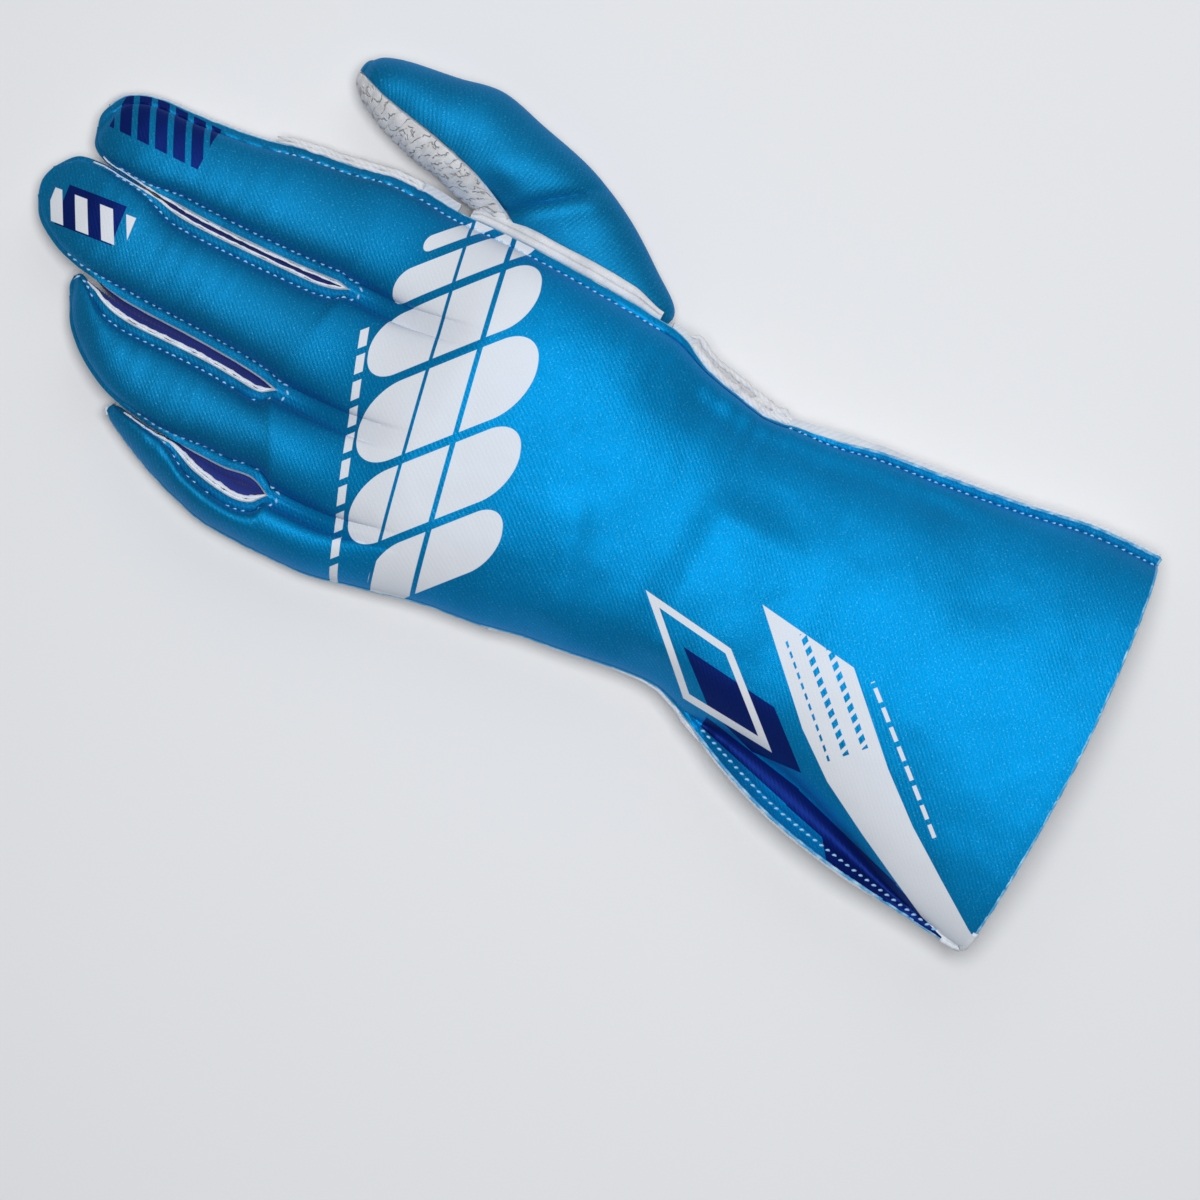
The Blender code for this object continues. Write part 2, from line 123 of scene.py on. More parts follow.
# Studio, in metres and watts: the photo is taken from straight above
PHOTO_RIGHT = Vector((0.4805, -0.877, 0.0))
PHOTO_UP = Vector((0.877, 0.4805, 0.0))
VIEW_MIDDLE = (-0.0337, -0.0262)
VIEW_WIDTH = 0.3185
GLOVE_HEIGHT = 0.02
CAMERA_HEIGHT = 1.12
SENSOR = 36.0
KEY_POWER = 8.6
FILL_POWER = 2.0
SKY_STRENGTH = 0.16

# Mesh steps
HAND_ROWS = 230
FINGER_ROWS = 84
DOME = 20
FLANGE = 4
THUMB_ROWS = 120
THUMB_STEPS = 44
THUMB_CAP = 10

# Cuff to knuckles. along: share of HAND_LENGTH; ulnar, radial: edges, shares of HAND_WIDTH;
# seam_ulnar, seam_radial, top: heights, shares of DEPTH; palm_ulnar, palm_radial: how far the
# palm panel shows, shares of ALLOWANCE; bulge_ulnar, bulge_radial: powers of the section on each
# side of its crest; shelf: width of the fold beside the flange; hem_ulnar, hem_radial: flat
# hems, shares of ALLOWANCE; roll: how high the radial cut edge turns up, less than 0 for down
Section = namedtuple(
    "Section",
    "along ulnar radial seam_ulnar seam_radial top palm_ulnar palm_radial bulge_ulnar bulge_radial"
    " shelf hem_ulnar hem_radial roll",
)
SECTIONS = (
    Section(0.00, -0.622, 0.549, 0.48, 0.48, 1.00, 0.0, 0.3, 1.9, 2.0, 0.0, 0.28, 0.70, 0.7),
    Section(0.10, -0.606, 0.538, 0.48, 0.47, 0.97, 0.0, 0.3, 1.9, 2.0, 1.8, 0.50, 0.70, 0.7),
    Section(0.20, -0.588, 0.500, 0.47, 0.45, 0.94, 0.0, 0.3, 2.1, 2.0, 6.5, 0.80, 0.70, 0.7),
    Section(0.31, -0.546, 0.465, 0.45, 0.44, 0.90, 0.0, 0.4, 2.4, 2.0, 9.0, 0.80, 0.70, 0.6),
    Section(0.40, -0.484, 0.438, 0.43, 0.43, 0.86, 0.1, 0.5, 2.6, 1.8, 5.0, 0.70, 0.60, 0.5),
    Section(0.46, -0.430, 0.409, 0.42, 0.43, 0.84, 0.4, 0.7, 2.7, 1.6, 0.3, 0.35, 0.50, 0.2),
    Section(0.51, -0.396, 0.392, 0.40, 0.43, 0.83, 0.2, 0.5, 2.6, 1.5, 0.0, 0.18, 0.30, -0.4),
    Section(0.555, -0.400, 0.376, 0.39, 0.44, 0.83, 0.10, 0.3, 2.5, 1.5, 0.0, 0.18, 0.22, -0.9),
    Section(0.60, -0.415, 0.388, 0.38, 0.47, 0.84, 0.05, 0.3, 2.4, 1.6, 0.0, 0.18, 0.22, -1.0),
    Section(0.66, -0.437, 0.414, 0.37, 0.51, 0.86, 0.0, 0.5, 2.3, 1.9, 0.0, 0.18, 0.30, -1.0),
    Section(0.70, -0.449, 0.452, 0.36, 0.54, 0.87, -0.1, 0.4, 2.2, 2.2, 0.0, 0.18, 0.60, -1.0),
    Section(0.76, -0.478, 0.465, 0.35, 0.58, 0.89, -0.2, 0.3, 2.2, 2.5, 0.0, 0.18, 0.72, -1.0),
    Section(0.84, -0.503, 0.469, 0.33, 0.60, 0.90, -0.2, 0.3, 2.2, 2.6, 0.0, 0.18, 0.72, -1.5),
    Section(0.93, -0.550, 0.470, 0.31, 0.57, 0.87, -0.2, 0.3, 2.2, 2.6, 0.0, 0.18, 0.72, -1.5),
    Section(1.00, -0.585, 0.468, 0.29, 0.53, 0.82, -0.2, 0.4, 2.2, 2.6, 0.0, 0.18, 0.72, -1.5),
    Section(1.05, -0.592, 0.464, 0.28, 0.49, 0.76, -0.2, 0.5, 2.2, 2.4, 0.0, 0.18, 0.72, -1.5),
    Section(1.10, -0.595, 0.470, 0.27, 0.41, 0.68, -0.2, 0.5, 2.2, 2.2, 0.0, 0.18, 0.72, -1.5),
    Section(1.15, -0.595, 0.467, 0.26, 0.33, 0.60, -0.2, 0.5, 2.2, 2.2, 0.0, 0.18, 0.72, -1.5),
)

# Knuckle to tip: the two edges as shares of HAND_WIDTH and HAND_LENGTH, and the crown
Joint = namedtuple("Joint", "left_x left_y right_x right_y rise")
PINKY = (
    Joint(-0.595, 1.070, -0.445, 1.0925, 1.20),
    Joint(-0.596, 1.100, -0.474, 1.118, 1.10),
    Joint(-0.595, 1.150, -0.476, 1.150, 1.00),
    Joint(-0.578, 1.190, -0.464, 1.188, 1.00),
    Joint(-0.555, 1.230, -0.446, 1.228, 1.00),
    Joint(-0.529, 1.265, -0.444, 1.265, 0.95),
    Joint(-0.500, 1.298, -0.438, 1.295, 0.80),
    Joint(-0.475, 1.322, -0.433, 1.318, 0.50),
    Joint(-0.455, 1.335, -0.430, 1.332, 0.00),
)
RING = (
    Joint(-0.445, 1.0925, -0.187, 1.1485, 1.25),
    Joint(-0.424, 1.120, -0.200, 1.170, 1.12),
    Joint(-0.436, 1.158, -0.198, 1.200, 1.00),
    Joint(-0.438, 1.200, -0.196, 1.240, 1.00),
    Joint(-0.434, 1.245, -0.198, 1.280, 1.00),
    Joint(-0.426, 1.285, -0.202, 1.320, 1.00),
    Joint(-0.417, 1.320, -0.205, 1.360, 1.00),
    Joint(-0.396, 1.356, -0.196, 1.400, 0.95),
    Joint(-0.355, 1.395, -0.178, 1.430, 0.82),
    Joint(-0.298, 1.429, -0.168, 1.450, 0.58),
    Joint(-0.232, 1.452, -0.180, 1.460, 0.00),
)
MIDDLE = (
    Joint(-0.187, 1.1485, 0.142, 1.127, 1.25),
    Joint(-0.177, 1.185, 0.122, 1.165, 1.12),
    Joint(-0.173, 1.235, 0.114, 1.215, 1.00),
    Joint(-0.172, 1.285, 0.108, 1.265, 1.00),
    Joint(-0.174, 1.335, 0.103, 1.315, 1.00),
    Joint(-0.173, 1.385, 0.102, 1.365, 1.00),
    Joint(-0.158, 1.430, 0.110, 1.415, 1.00),
    Joint(-0.145, 1.467, 0.114, 1.460, 0.95),
    Joint(-0.125, 1.500, 0.116, 1.496, 0.80),
    Joint(-0.085, 1.534, 0.102, 1.530, 0.52),
    Joint(-0.035, 1.554, 0.050, 1.554, 0.00),
)
INDEX = (
    Joint(0.142, 1.127, 0.468, 1.105, 1.25),
    Joint(0.132, 1.165, 0.463, 1.150, 1.12),
    Joint(0.123, 1.215, 0.436, 1.205, 1.00),
    Joint(0.117, 1.265, 0.417, 1.265, 1.00),
    Joint(0.113, 1.315, 0.385, 1.325, 1.00),
    Joint(0.112, 1.365, 0.368, 1.375, 1.00),
    Joint(0.119, 1.415, 0.357, 1.420, 1.00),
    Joint(0.125, 1.457, 0.350, 1.462, 0.95),
    Joint(0.131, 1.490, 0.335, 1.492, 0.80),
    Joint(0.155, 1.515, 0.305, 1.516, 0.52),
    Joint(0.200, 1.527, 0.262, 1.5275, 0.00),
)
# bare: width of the white cords beside a slot, in mm; ends: share of HAND_LENGTH at which the
# slot, or the flat hem, ends; palm_right: how far the palm shows, share of the hem
Finger = namedtuple(
    "Finger",
    "joints seam_left seam_right wall_left wall_right bare_left bare_right ends_left ends_right"
    " palm_right",
)
FINGERS = (
    Finger(PINKY, 0.40, 0.50, 0, 1, 0.0, 1.9, 0.00, 1.275, 0.0),
    Finger(RING, 0.50, 0.50, 1, 1, 0.3, 1.5, 1.275, 1.465, 0.0),
    Finger(MIDDLE, 0.50, 0.50, 1, 1, 0.3, 1.0, 1.465, 1.455, 0.0),
    Finger(INDEX, 0.50, 0.56, 1, 0, 1.05, 0.0, 1.455, 1.60, 0.5),
)
INDEX_WHITE_END = 1.31  # where the palm's white edge beside the index finger ends

# Root of the thumb to its tip, as in the part
Ring = namedtuple("Ring", "inner_x inner_y outer_x outer_y low high colour")
THUMB = (
    Ring(0.345, 0.985, 0.345, 0.775, 0.26, 0.80, 0.30),
    Ring(0.430, 1.000, 0.430, 0.755, 0.15, 0.84, 0.30),
    Ring(0.480, 1.014, 0.500, 0.735, 0.06, 0.88, 0.30),
    Ring(0.496, 1.030, 0.575, 0.782, 0.00, 0.93, 0.30),
    Ring(0.508, 1.055, 0.660, 0.847, -0.04, 1.00, 0.31),
    Ring(0.523, 1.082, 0.726, 0.922, -0.06, 1.12, 0.32),
    Ring(0.534, 1.108, 0.763, 1.002, -0.06, 1.12, 0.33),
    Ring(0.546, 1.145, 0.792, 1.072, -0.06, 1.10, 0.34),
    Ring(0.570, 1.184, 0.768, 1.132, -0.04, 1.06, 0.35),
    Ring(0.593, 1.210, 0.746, 1.195, 0.00, 1.00, 0.37),
    Ring(0.613, 1.230, 0.725, 1.229, 0.10, 0.90, 0.42),
    Ring(0.637, 1.243, 0.702, 1.243, 0.22, 0.74, 0.46),
)
THUMB_TIP = (0.669, 1.249, 0.48)
UNDER_TURN = 1.14
SEAM_TURN = 0.007

# The side opening of the palm that the thumb grows out of
THUMB_FROM = 0.725
THUMB_TO = 1.05
WELT_FROM = 0.742
WELT_TO = 1.030
WELT_ROWS = 150

# Section of the folded welt, outward and up, as shares of WELT_WIDTH and PLY
Fold = namedtuple("Fold", "out up")
WELT_FOLD = (
    Fold(0.10, 0.30),
    Fold(0.22, 0.72),
    Fold(0.36, 0.80),
    Fold(0.47, 0.45),
    Fold(0.53, 0.00),
    Fold(0.59, 0.42),
    Fold(0.72, 0.72),
    Fold(0.88, 0.62),
    Fold(1.00, 0.25),
    Fold(1.02, -0.15),
    Fold(0.90, -0.48),
    Fold(0.05, -0.50),
)

WELT_VALLEY = 2.35  # where the line of painted shade lies, in the groove between the folds, across the welt from its first row

# Folds and swells of the back, as lines on the plan: ahead and behind are their widths on the
# side of the fingertips and of the cuff
Crease = namedtuple("Crease", "x0 y0 x1 y1 ahead behind height")
CREASES = (
    Crease(-28, 108, 8, 107, 8.5, 24.0, 2.8),
    Crease(-44, 134, -12, 143, 12.0, 6.0, 2.0),
    Crease(-20, 79, 6, 82, 9.0, 9.0, -1.0),
    Crease(33, 126, 41, 60, 6.5, 7.0, -2.0),
    Crease(22, 38, 52, 62, 10.0, 10.0, -1.1),
    Crease(30, 137, 48, 140, 8.0, 8.0, -0.9),
)

# The palm's crumpled edges beside the wrist, on the thumb's side and on the other one
Gather = namedtuple("Gather", "at reach least more up aside seed")
GATHERS = (
    Gather(113, 13, 0.25, 0.5, 1.6, 0.9, 31),
    Gather(94, 6, 0.1, 0.6, 1.0, -0.8, 35),
)

# The white cords along those edges: from and to along the glove, how far outside the seam,
# radius and sway
Cord = namedtuple("Cord", "side start end out radius sway")
WRIST_CORDS = (
    Cord("radial", 103.0, 139.0, 1.0, 1.25, 0.55),
    Cord("radial", 108.0, 140.0, 3.7, 0.85, 0.35),
    Cord("radial", 104.0, 118.0, 2.9, 1.0, 0.6),
    Cord("ulnar", 86.0, 97.0, 0.5, 0.7, 0.4),
)

# The slanted white bars printed across the back of the hand: place and half width across it,
# middle and reach along it, and the corner's radius
Bar = namedtuple("Bar", "place half middle reach corner")
HAND_BARS = (
    Bar(-41.0, 8.0, -2.0, 17.0, 7.5),
    Bar(-21.0, 9.5, 0.5, 21.5, 9.0),
    Bar(1.5, 10.5, 0.0, 22.5, 10.0),
    Bar(23.0, 8.5, 1.0, 21.5, 8.0),
    Bar(38.5, 4.5, 0.0, 18.5, 4.2),
    Bar(48.0, 2.2, -1.0, 13.0, 2.0),
)


def smooth(at, positions, values):
    """A cubic through the table's values, its slopes taken from the rows on both sides."""
    positions, values = np.asarray(positions, float), np.asarray(values, float)
    slopes = np.gradient(values, positions)
    k = np.clip(np.searchsorted(positions, at) - 1, 0, len(positions) - 2)
    step = positions[k + 1] - positions[k]
    t = np.clip((at - positions[k]) / step, 0.0, 1.0)
    rise = (3 - 2 * t) * t * t
    return (
        values[k] * (1 - rise)
        + values[k + 1] * rise
        + step * slopes[k] * t * (1 - t) ** 2
        - step * slopes[k + 1] * t * t * (1 - t)
    )


def ease(x):
    x = np.clip(x, 0.0, 1.0)
    return x * x * (3 - 2 * x)


def column(rows, name):
    return np.array([getattr(row, name) for row in rows])


def section(y, name, size=1.0):
    return size * smooth(y / HAND_LENGTH, column(SECTIONS, "along"), column(SECTIONS, name))


def wavy(points, size, seed):
    """Smooth noise between -1 and 1, its swells about size apart."""
    points = np.asarray(points, float)
    shift = Vector((seed * 7.3, seed * 3.1, seed * 5.7))
    values = [noise.noise(Vector(point) / size + shift) for point in points.reshape(-1, 3)]
    return np.array(values).reshape(points.shape[:-1])


def beside(along, place):
    """Points for noise that varies along a seam, another one for each place beside it."""
    return np.stack([along, np.full_like(along, place), np.zeros_like(along)], axis=-1)


def off_line(x, y, start, end):
    """Distance to the left of a line on the plan, and how far past its ends."""
    start, run = np.asarray(start, float), np.subtract(end, start).astype(float)
    long = np.linalg.norm(run)
    run /= long
    along = (x - start[0]) * run[0] + (y - start[1]) * run[1]
    off = -(x - start[0]) * run[1] + (y - start[1]) * run[0]
    return off, np.maximum(np.maximum(-along, along - long), 0.0)


def lengths(points):
    """Distance run along each row of points, from its first one."""
    steps = np.linalg.norm(np.diff(points, axis=-2), axis=-1)
    start = np.zeros(steps.shape[:-1] + (1,))
    return np.concatenate([start, np.cumsum(steps, axis=-1)], axis=-1)


class Sheet:
    """Points, their places on the flat cloth and the faces of one open surface."""

    def __init__(self):
        self.points = np.zeros((0, 3))
        self.cloth = np.zeros((0, 2))
        self.faces = []
        self.off_print = 0.0

    def add(self, points, cloth):
        """Adds an array of points and gives back their numbers in the same layout."""
        points = np.asarray(points, float)
        first = len(self.points)
        self.points = np.concatenate([self.points, points.reshape(-1, 3)])
        self.cloth = np.concatenate([self.cloth, np.asarray(cloth, float).reshape(-1, 2)])
        return first + np.arange(len(self.points) - first).reshape(points.shape[:-1])

    def quads(self, ids, turned=False):
        ids = np.asarray(ids)
        corners = (ids[:-1, :-1], ids[:-1, 1:], ids[1:, 1:], ids[1:, :-1])
        faces = np.stack(corners, axis=-1).reshape(-1, 4)
        self.faces.extend((faces[:, ::-1] if turned else faces).tolist())

    def closed(self, ids, turned=False):
        """Joins rings of points into a round strip with two end caps."""
        self.quads(np.concatenate([ids, ids[:, :1]], axis=1), turned)
        for end, back in ((0, not turned), (-1, turned)):
            cap = ids[end].tolist()
            self.faces.append(cap[::-1] if back else cap)

    def keep(self, wanted):
        """Keeps the faces for which wanted(centres) is true."""
        centres = np.array([self.points[face].mean(axis=0) for face in self.faces])
        self.faces = [face for face, kept in zip(self.faces, wanted(centres)) if kept]


def dome_shares():
    turn = np.linspace(-np.pi / 2, np.pi / 2, DOME + 1)
    return (1 + np.sin(turn)) / 2, np.cos(turn)


def folded(points, free):
    """Height that the creases and the cloth's own unevenness add, less towards the seams."""
    x, y = points[..., 0], points[..., 1]
    height = np.zeros(x.shape)
    for crease in CREASES:
        off, beyond = off_line(x, y, (crease.x0, crease.y0), (crease.x1, crease.y1))
        width = np.where(off > 0, crease.ahead, crease.behind)
        height += crease.height * np.exp(-(off**2) / width**2 - beyond**2 / 50.0)
    flat = points * np.array([1.0, 1.0, 0.0])
    height += 0.45 * wavy(flat, 21.0, 1) + 0.22 * wavy(flat, 9.0, 2) + 0.07 * wavy(flat, 3.5, 3)
    return height * free


def puckers(along, inside, seed):
    """Small waves square to a seam, which die out away from it."""
    flat = beside(along, 0.0)
    sway = 2.2 * wavy(flat, 17.0, seed)
    size = 0.55 + 0.45 * wavy(flat, 11.0, seed + 1)
    wave = np.sin(2 * np.pi * along / PUCKER_LENGTH + sway) * size
    reach = np.exp(-np.abs(inside) / PUCKER_REACH)
    return PUCKER * wave * reach


Outline = namedtuple("Outline", "left right top depth rise path inward into_left into_right into_top")


def outline(finger):
    """A finger's two long edges and the short one at its tip, each with its inward directions."""
    joints = finger.joints
    places = np.arange(len(joints))
    at = np.linspace(0, len(joints) - 1, FINGER_ROWS + 1)
    left, right = (
        np.column_stack(
            [
                HAND_WIDTH * smooth(at, places, column(joints, side + "_x")),
                HAND_LENGTH * smooth(at, places, column(joints, side + "_y")),
            ]
        )
        for side in ("left", "right")
    )
    shares, _ = dome_shares()
    top = left[-1] + (right[-1] - left[-1]) * shares[:, None]
    top[:, 1] += TIP_ROUND * np.linalg.norm(right[-1] - left[-1]) * np.sin(np.pi * shares)
    wide = HAND_WIDTH * (column(joints, "right_x") - column(joints, "left_x"))
    high = HAND_LENGTH * (column(joints, "right_y") - column(joints, "left_y"))
    across = np.hypot(wide, high)
    across[-1] = across[-2]
    depth = np.interp(at, places, np.minimum(ALLOWANCE, NARROW * across))
    rise = smooth(at, places, column(joints, "rise"))
    path = np.concatenate([left[:-1], top, right[-2::-1]])
    inward = inward_of(path)
    into_left, into_right = inward[: len(left)], inward[::-1][: len(right)]
    into_top = inward[len(left) - 1 : len(left) - 1 + len(top)]
    return Outline(left, right, top, depth, rise, path, inward, into_left, into_right, into_top)


def inward_of(path):
    """Directions into the finger, square to its outline."""
    run = np.gradient(path, axis=0)
    run /= np.linalg.norm(run, axis=1)[:, None]
    for _ in range(8):
        run[1:-1] = (run[:-2] + 2 * run[1:-1] + run[2:]) / 4
    run /= np.linalg.norm(run, axis=1)[:, None]
    return np.stack([run[:, 1], -run[:, 0]], axis=1)


def finger_seams(finger, side):
    """Heights of the panel's allowances on the left and right of each row."""
    share = np.linspace(1, 0, FINGER_ROWS + 1)
    opened = ease(share / OPEN_SHARE)
    left = FINGER_DEPTH * finger.seam_left
    right = FINGER_DEPTH * finger.seam_right
    middle = (left + right) / 2
    level = ease(share / LEVEL_SHARE)
    low = middle + (left - middle) * level
    high = middle + (right - middle) * level
    return (
        low + side * (HALF_STACK + WALL_OPEN * finger.wall_left * opened),
        high + side * (HALF_STACK + WALL_OPEN * finger.wall_right * opened),
    )


def cloth_edges(edge, depth, bare, ends, walled):
    """How far inside the outline the cut edge and the stitches lie, and where a slot is open."""
    opened = ease((ends * HAND_LENGTH - edge[:, 1]) / SLOT_FADE)
    hem = depth * (ROLLED + (HEM - ROLLED) * opened)
    if not walled:
        return np.full(len(edge), EDGE_SETBACK), hem, opened
    start = ease(lengths(edge) / CROTCH_ROUND)
    at_tip = ease((len(edge) - 1 - np.arange(len(edge))) / 10.0)
    back = np.minimum(bare * opened - LAP * (1 - opened) * at_tip, 0.65 * depth) * start
    return back, hem + np.maximum(back, 0.0), opened


def finger_edges(finger, edges, side):
    """For the left and the right: cut edge, line of stitches, and where a slot is open."""
    made = []
    for edge, into, bare, ends, walled in (
        (edges.left, edges.into_left, finger.bare_left, finger.ends_left, finger.wall_left),
        (edges.right, edges.into_right, finger.bare_right, finger.ends_right, finger.wall_right),
    ):
        back, hem, opened = cloth_edges(edge, edges.depth, bare, ends, walled)
        if side > 0:
            outer = edge + into * back[:, None]
            outer[:, 1] -= SLOT_SETBACK * (1 - ease(lengths(outer) / CROTCH_ROUND)) * walled
        else:
            outer = edge + into * (PALM_BACK * (1 - opened))[:, None]
        made.append((outer, edge + into * hem[:, None], opened, hem))
    return made


def finger_flange(outer, stitch, seam, opened, walled, side, rough_by):
    """The flat allowance from the cut edge up to the stitches, with its edge turned."""
    steps = np.linspace(0, 1, FLANGE + 1)[:-1]
    turned = TURN_UP * opened + ROLL_DOWN * (1 - opened) if side > 0 else 0.0 * opened
    turned = (turned if walled else np.full(len(opened), SECTIONS[-1].roll))[:, None]
    flat = outer[:, None] + (stitch[:, None, :2] - outer[:, None]) * steps[:, None]
    rough = 0.35 * wavy(np.column_stack([outer, seam]), 3.2, 5)[:, None] * (1 - steps)
    return np.dstack([flat, seam[:, None] + (1 - steps) ** 1.5 * turned + rough_by * rough])


def finger_grid(finger, side):
    """Points of one finger of the back (side 1) or the palm (side -1), and its tip's edge."""
    edges = outline(finger)
    rise = np.minimum(edges.rise, 1)[:, None]
    left, right = finger_edges(finger, edges, side)
    outer_left, stitch_left, open_left, hem_left = left
    outer_right, stitch_right, open_right, hem_right = right
    tip_hem = np.linspace(hem_left[-1], hem_right[-1], DOME + 1)[:, None]
    shares, crown = dome_shares()
    dome = stitch_left[:, None] + (stitch_right - stitch_left)[:, None] * shares[:, None]
    dome[-1] = edges.top + edges.into_top * tip_hem
    if side < 0:
        shown = ease((INDEX_WHITE_END * HAND_LENGTH - edges.right[:, 1]) / 10.0) * finger.palm_right
        outer_right = outer_right - edges.into_right * (edges.depth * shown)[:, None]
    low, high = finger_seams(finger, side)
    level = low[:, None] + (high - low)[:, None] * shares
    if side > 0:
        droop = FINGER_DROOP * (0.5 - np.linspace(0, 1, FINGER_ROWS + 1))[:, None]
        height = level + (FINGER_RISE * edges.rise[:, None] + droop * rise) * crown**0.8
    else:
        height = np.maximum(level - (level + PALM_LIFT) * np.sqrt(crown) * rise, 0.0)
    dome = np.dstack([dome, height])
    if side > 0:
        across = np.linalg.norm(stitch_right - stitch_left, axis=1)[:, None]
        inside = 2.0 + np.minimum(shares, 1 - shares) * across
        dome[..., 2] += folded(dome, ease(inside / 7.0)) * 0.7
        seed = 10 + int(edges.left[0, 0])
        for far, number in ((shares > 0.5, seed), (shares < 0.5, seed + 3)):
            dome[..., 2] += puckers(dome[..., 1], inside + 50 * far, number) * rise
        dome[:, 0, 2] -= STITCH_PULL * open_left
        dome[:, -1, 2] -= STITCH_PULL * open_right
        dome[-1, :, 2] = level[-1]
    rough_by = 1.0 if side > 0 else 2.0 * finger.palm_right
    on_left = finger_flange(outer_left, dome[:, 0], low, open_left, True, side, rough_by)
    on_right = finger_flange(
        outer_right, dome[:, -1], high, open_right, finger.wall_right, side, rough_by
    )
    grid = np.concatenate([on_left, dome, on_right[:, ::-1]], axis=1)
    tip_back = EDGE_SETBACK if side > 0 else PALM_BACK
    tip_edge = np.column_stack([edges.top + edges.into_top * tip_back, level[-1]])
    tip_edge[0], tip_edge[-1] = grid[-1, 0], grid[-1, -1]
    return grid, tip_edge


def knuckle_row(side):
    """The last row of the hand, which the fingers start from."""
    rows = [finger_grid(finger, side)[0][0] for finger in FINGERS]
    return np.concatenate([row[:-1] for row in rows] + [rows[-1][-1:]])


def hand_grid(side):
    """Cuff to knuckles, as rows of points from the little finger's side to the thumb's."""
    last = knuckle_row(side)
    count = len(last)
    last_ulnar = section(last[:, 1], "ulnar", HAND_WIDTH)
    wide = section(last[:, 1], "radial", HAND_WIDTH) - last_ulnar
    at_knuckles = (last[:, 0] - last_ulnar) / wide
    turn = np.linspace(-np.pi / 2, np.pi / 2, count - 2 * FLANGE)
    spread = 0.65 * (1 + np.sin(turn)) / 2 + 0.35 * np.linspace(0, 1, len(turn))
    even = np.concatenate([np.zeros(FLANGE), spread, np.ones(FLANGE)])
    steps = np.linspace(0, 1, FLANGE + 1)[:-1]
    cuff = CUFF_SLANT * even - CUFF_SAG * (1 + np.sin(np.pi * even))
    from_corner = np.concatenate([steps, 1 + even[FLANGE:] * HAND_WIDTH * CUFF_WIDE])
    cuff += CORNER * (1 - np.sqrt(1 - (1 - np.clip(from_corner / CORNER, 0, 1)) ** 2))
    share = np.linspace(0, 1, HAND_ROWS + 1)[:-1, None]
    y = cuff + (last[:, 1] - cuff) * share
    ulnar = section(y, "ulnar", HAND_WIDTH)
    width = section(y, "radial", HAND_WIDTH) - ulnar
    edge_ulnar = ALLOWANCE * np.maximum(section(y, "hem_ulnar"), ROLLED) / width
    edge_radial = ALLOWANCE * np.maximum(section(y, "hem_radial"), ROLLED) / width
    inside = edge_ulnar + (1 - edge_ulnar - edge_radial) * even
    part = inside + (at_knuckles - inside) * ease((share - BLEND_FROM) / (1 - BLEND_FROM))
    part[:, :FLANGE] = edge_ulnar[:, :FLANGE] * steps
    part[:, -FLANGE:] = 1 - edge_radial[:, -FLANGE:] * steps[::-1]
    part[:, FLANGE] = edge_ulnar[:, FLANGE]
    part[:, -FLANGE - 1] = 1 - edge_radial[:, -FLANGE - 1]
    low, high = section(y, "seam_ulnar", DEPTH), section(y, "seam_radial", DEPTH)
    seam = low + (high - low) * part
    x = ulnar + width * part
    out_ulnar = np.clip(1 - part / edge_ulnar, 0, 1)
    out_radial = np.clip(1 - (1 - part) / edge_radial, 0, 1)
    points = np.dstack([x, y, seam])
    roll = section(y, "roll") * out_radial**1.5
    if side > 0:
        shelf = np.clip(section(y, "shelf"), 0, None) / width
        inner = (part - edge_ulnar - shelf) / (1 - edge_ulnar - edge_radial - shelf)
        across = np.clip(2 * inner - 1, -1.0, 1.0)
        power = np.where(across < 0, section(y, "bulge_ulnar"), section(y, "bulge_radial"))
        crown = section(y, "top", DEPTH) - (low + high) / 2
        z = seam + HALF_STACK + crown * np.sqrt(1 - np.abs(across) ** power)
        in_shelf = np.clip((part - edge_ulnar) / np.maximum(shelf, 1e-6), 0, 1)
        deep = np.clip(shelf * width / 6.0, 0, 1)
        z -= VALLEY * deep * np.sin(np.pi * in_shelf) ** 0.8 * (in_shelf < 1)
        from_ulnar, from_radial = (part - edge_ulnar) * width, (1 - edge_radial - part) * width
        free = ease(np.minimum(from_ulnar - shelf * width, from_radial) / 8.0)
        z += folded(points, free)
        z += puckers(y, from_ulnar, 21) * (0.8 + 1.2 * np.exp(-(((y - 95) / 22) ** 2)))
        z += puckers(y, from_radial, 24) * (0.8 + 2.0 * np.exp(-(((y - 108) / 18) ** 2)))
        hemmed = ease((section(y, "hem_ulnar") - ROLLED) / (HEM - ROLLED))
        lip = TURN_UP * (1 + 2.2 * deep) * hemmed + ROLL_DOWN * (1 - hemmed)
        z += lip * out_ulnar**1.5 + roll
        z[:, FLANGE] -= STITCH_PULL * hemmed[:, FLANGE]
        z[:, -FLANGE - 1] -= STITCH_PULL
        x += EDGE_SETBACK * (out_ulnar - out_radial)
    else:
        across = np.clip(2 * (part - edge_ulnar) / (1 - edge_ulnar - edge_radial) - 1, -1.0, 1.0)
        fall = (seam + PRESS) * (1 - across**PALM_ROUND) ** (1 / PALM_ROUND)
        z = np.maximum(seam - HALF_STACK - fall, 0.0) + np.minimum(roll, 0.0)
        x -= ALLOWANCE * section(y, "palm_ulnar") * out_ulnar
        x += ALLOWANCE * section(y, "palm_radial") * out_radial
        for gather, out in zip(GATHERS, (out_radial, out_ulnar)):
            strength = gather.least + gather.more * np.exp(-(((y - gather.at) / gather.reach) ** 2))
            ripple = wavy(np.dstack([x * 0.3, y, np.zeros_like(x)]), 4.2, gather.seed)
            z += strength * ripple * out * gather.up
            sway = wavy(np.dstack([x * 0.2, y, np.ones_like(x)]), 5.2, gather.seed + 2)
            x += strength * gather.aside * sway * out
    plain = np.concatenate([np.dstack([x, y, z]), np.dstack([last[:, 0], last[:, 1], z[-1]])])
    crease = ease((share - KNUCKLE_FROM) / (1 - KNUCKLE_FROM))
    z = z + (last[:, 2] - z) * crease
    return np.concatenate([np.dstack([x, y, z]), last[None]]), plain


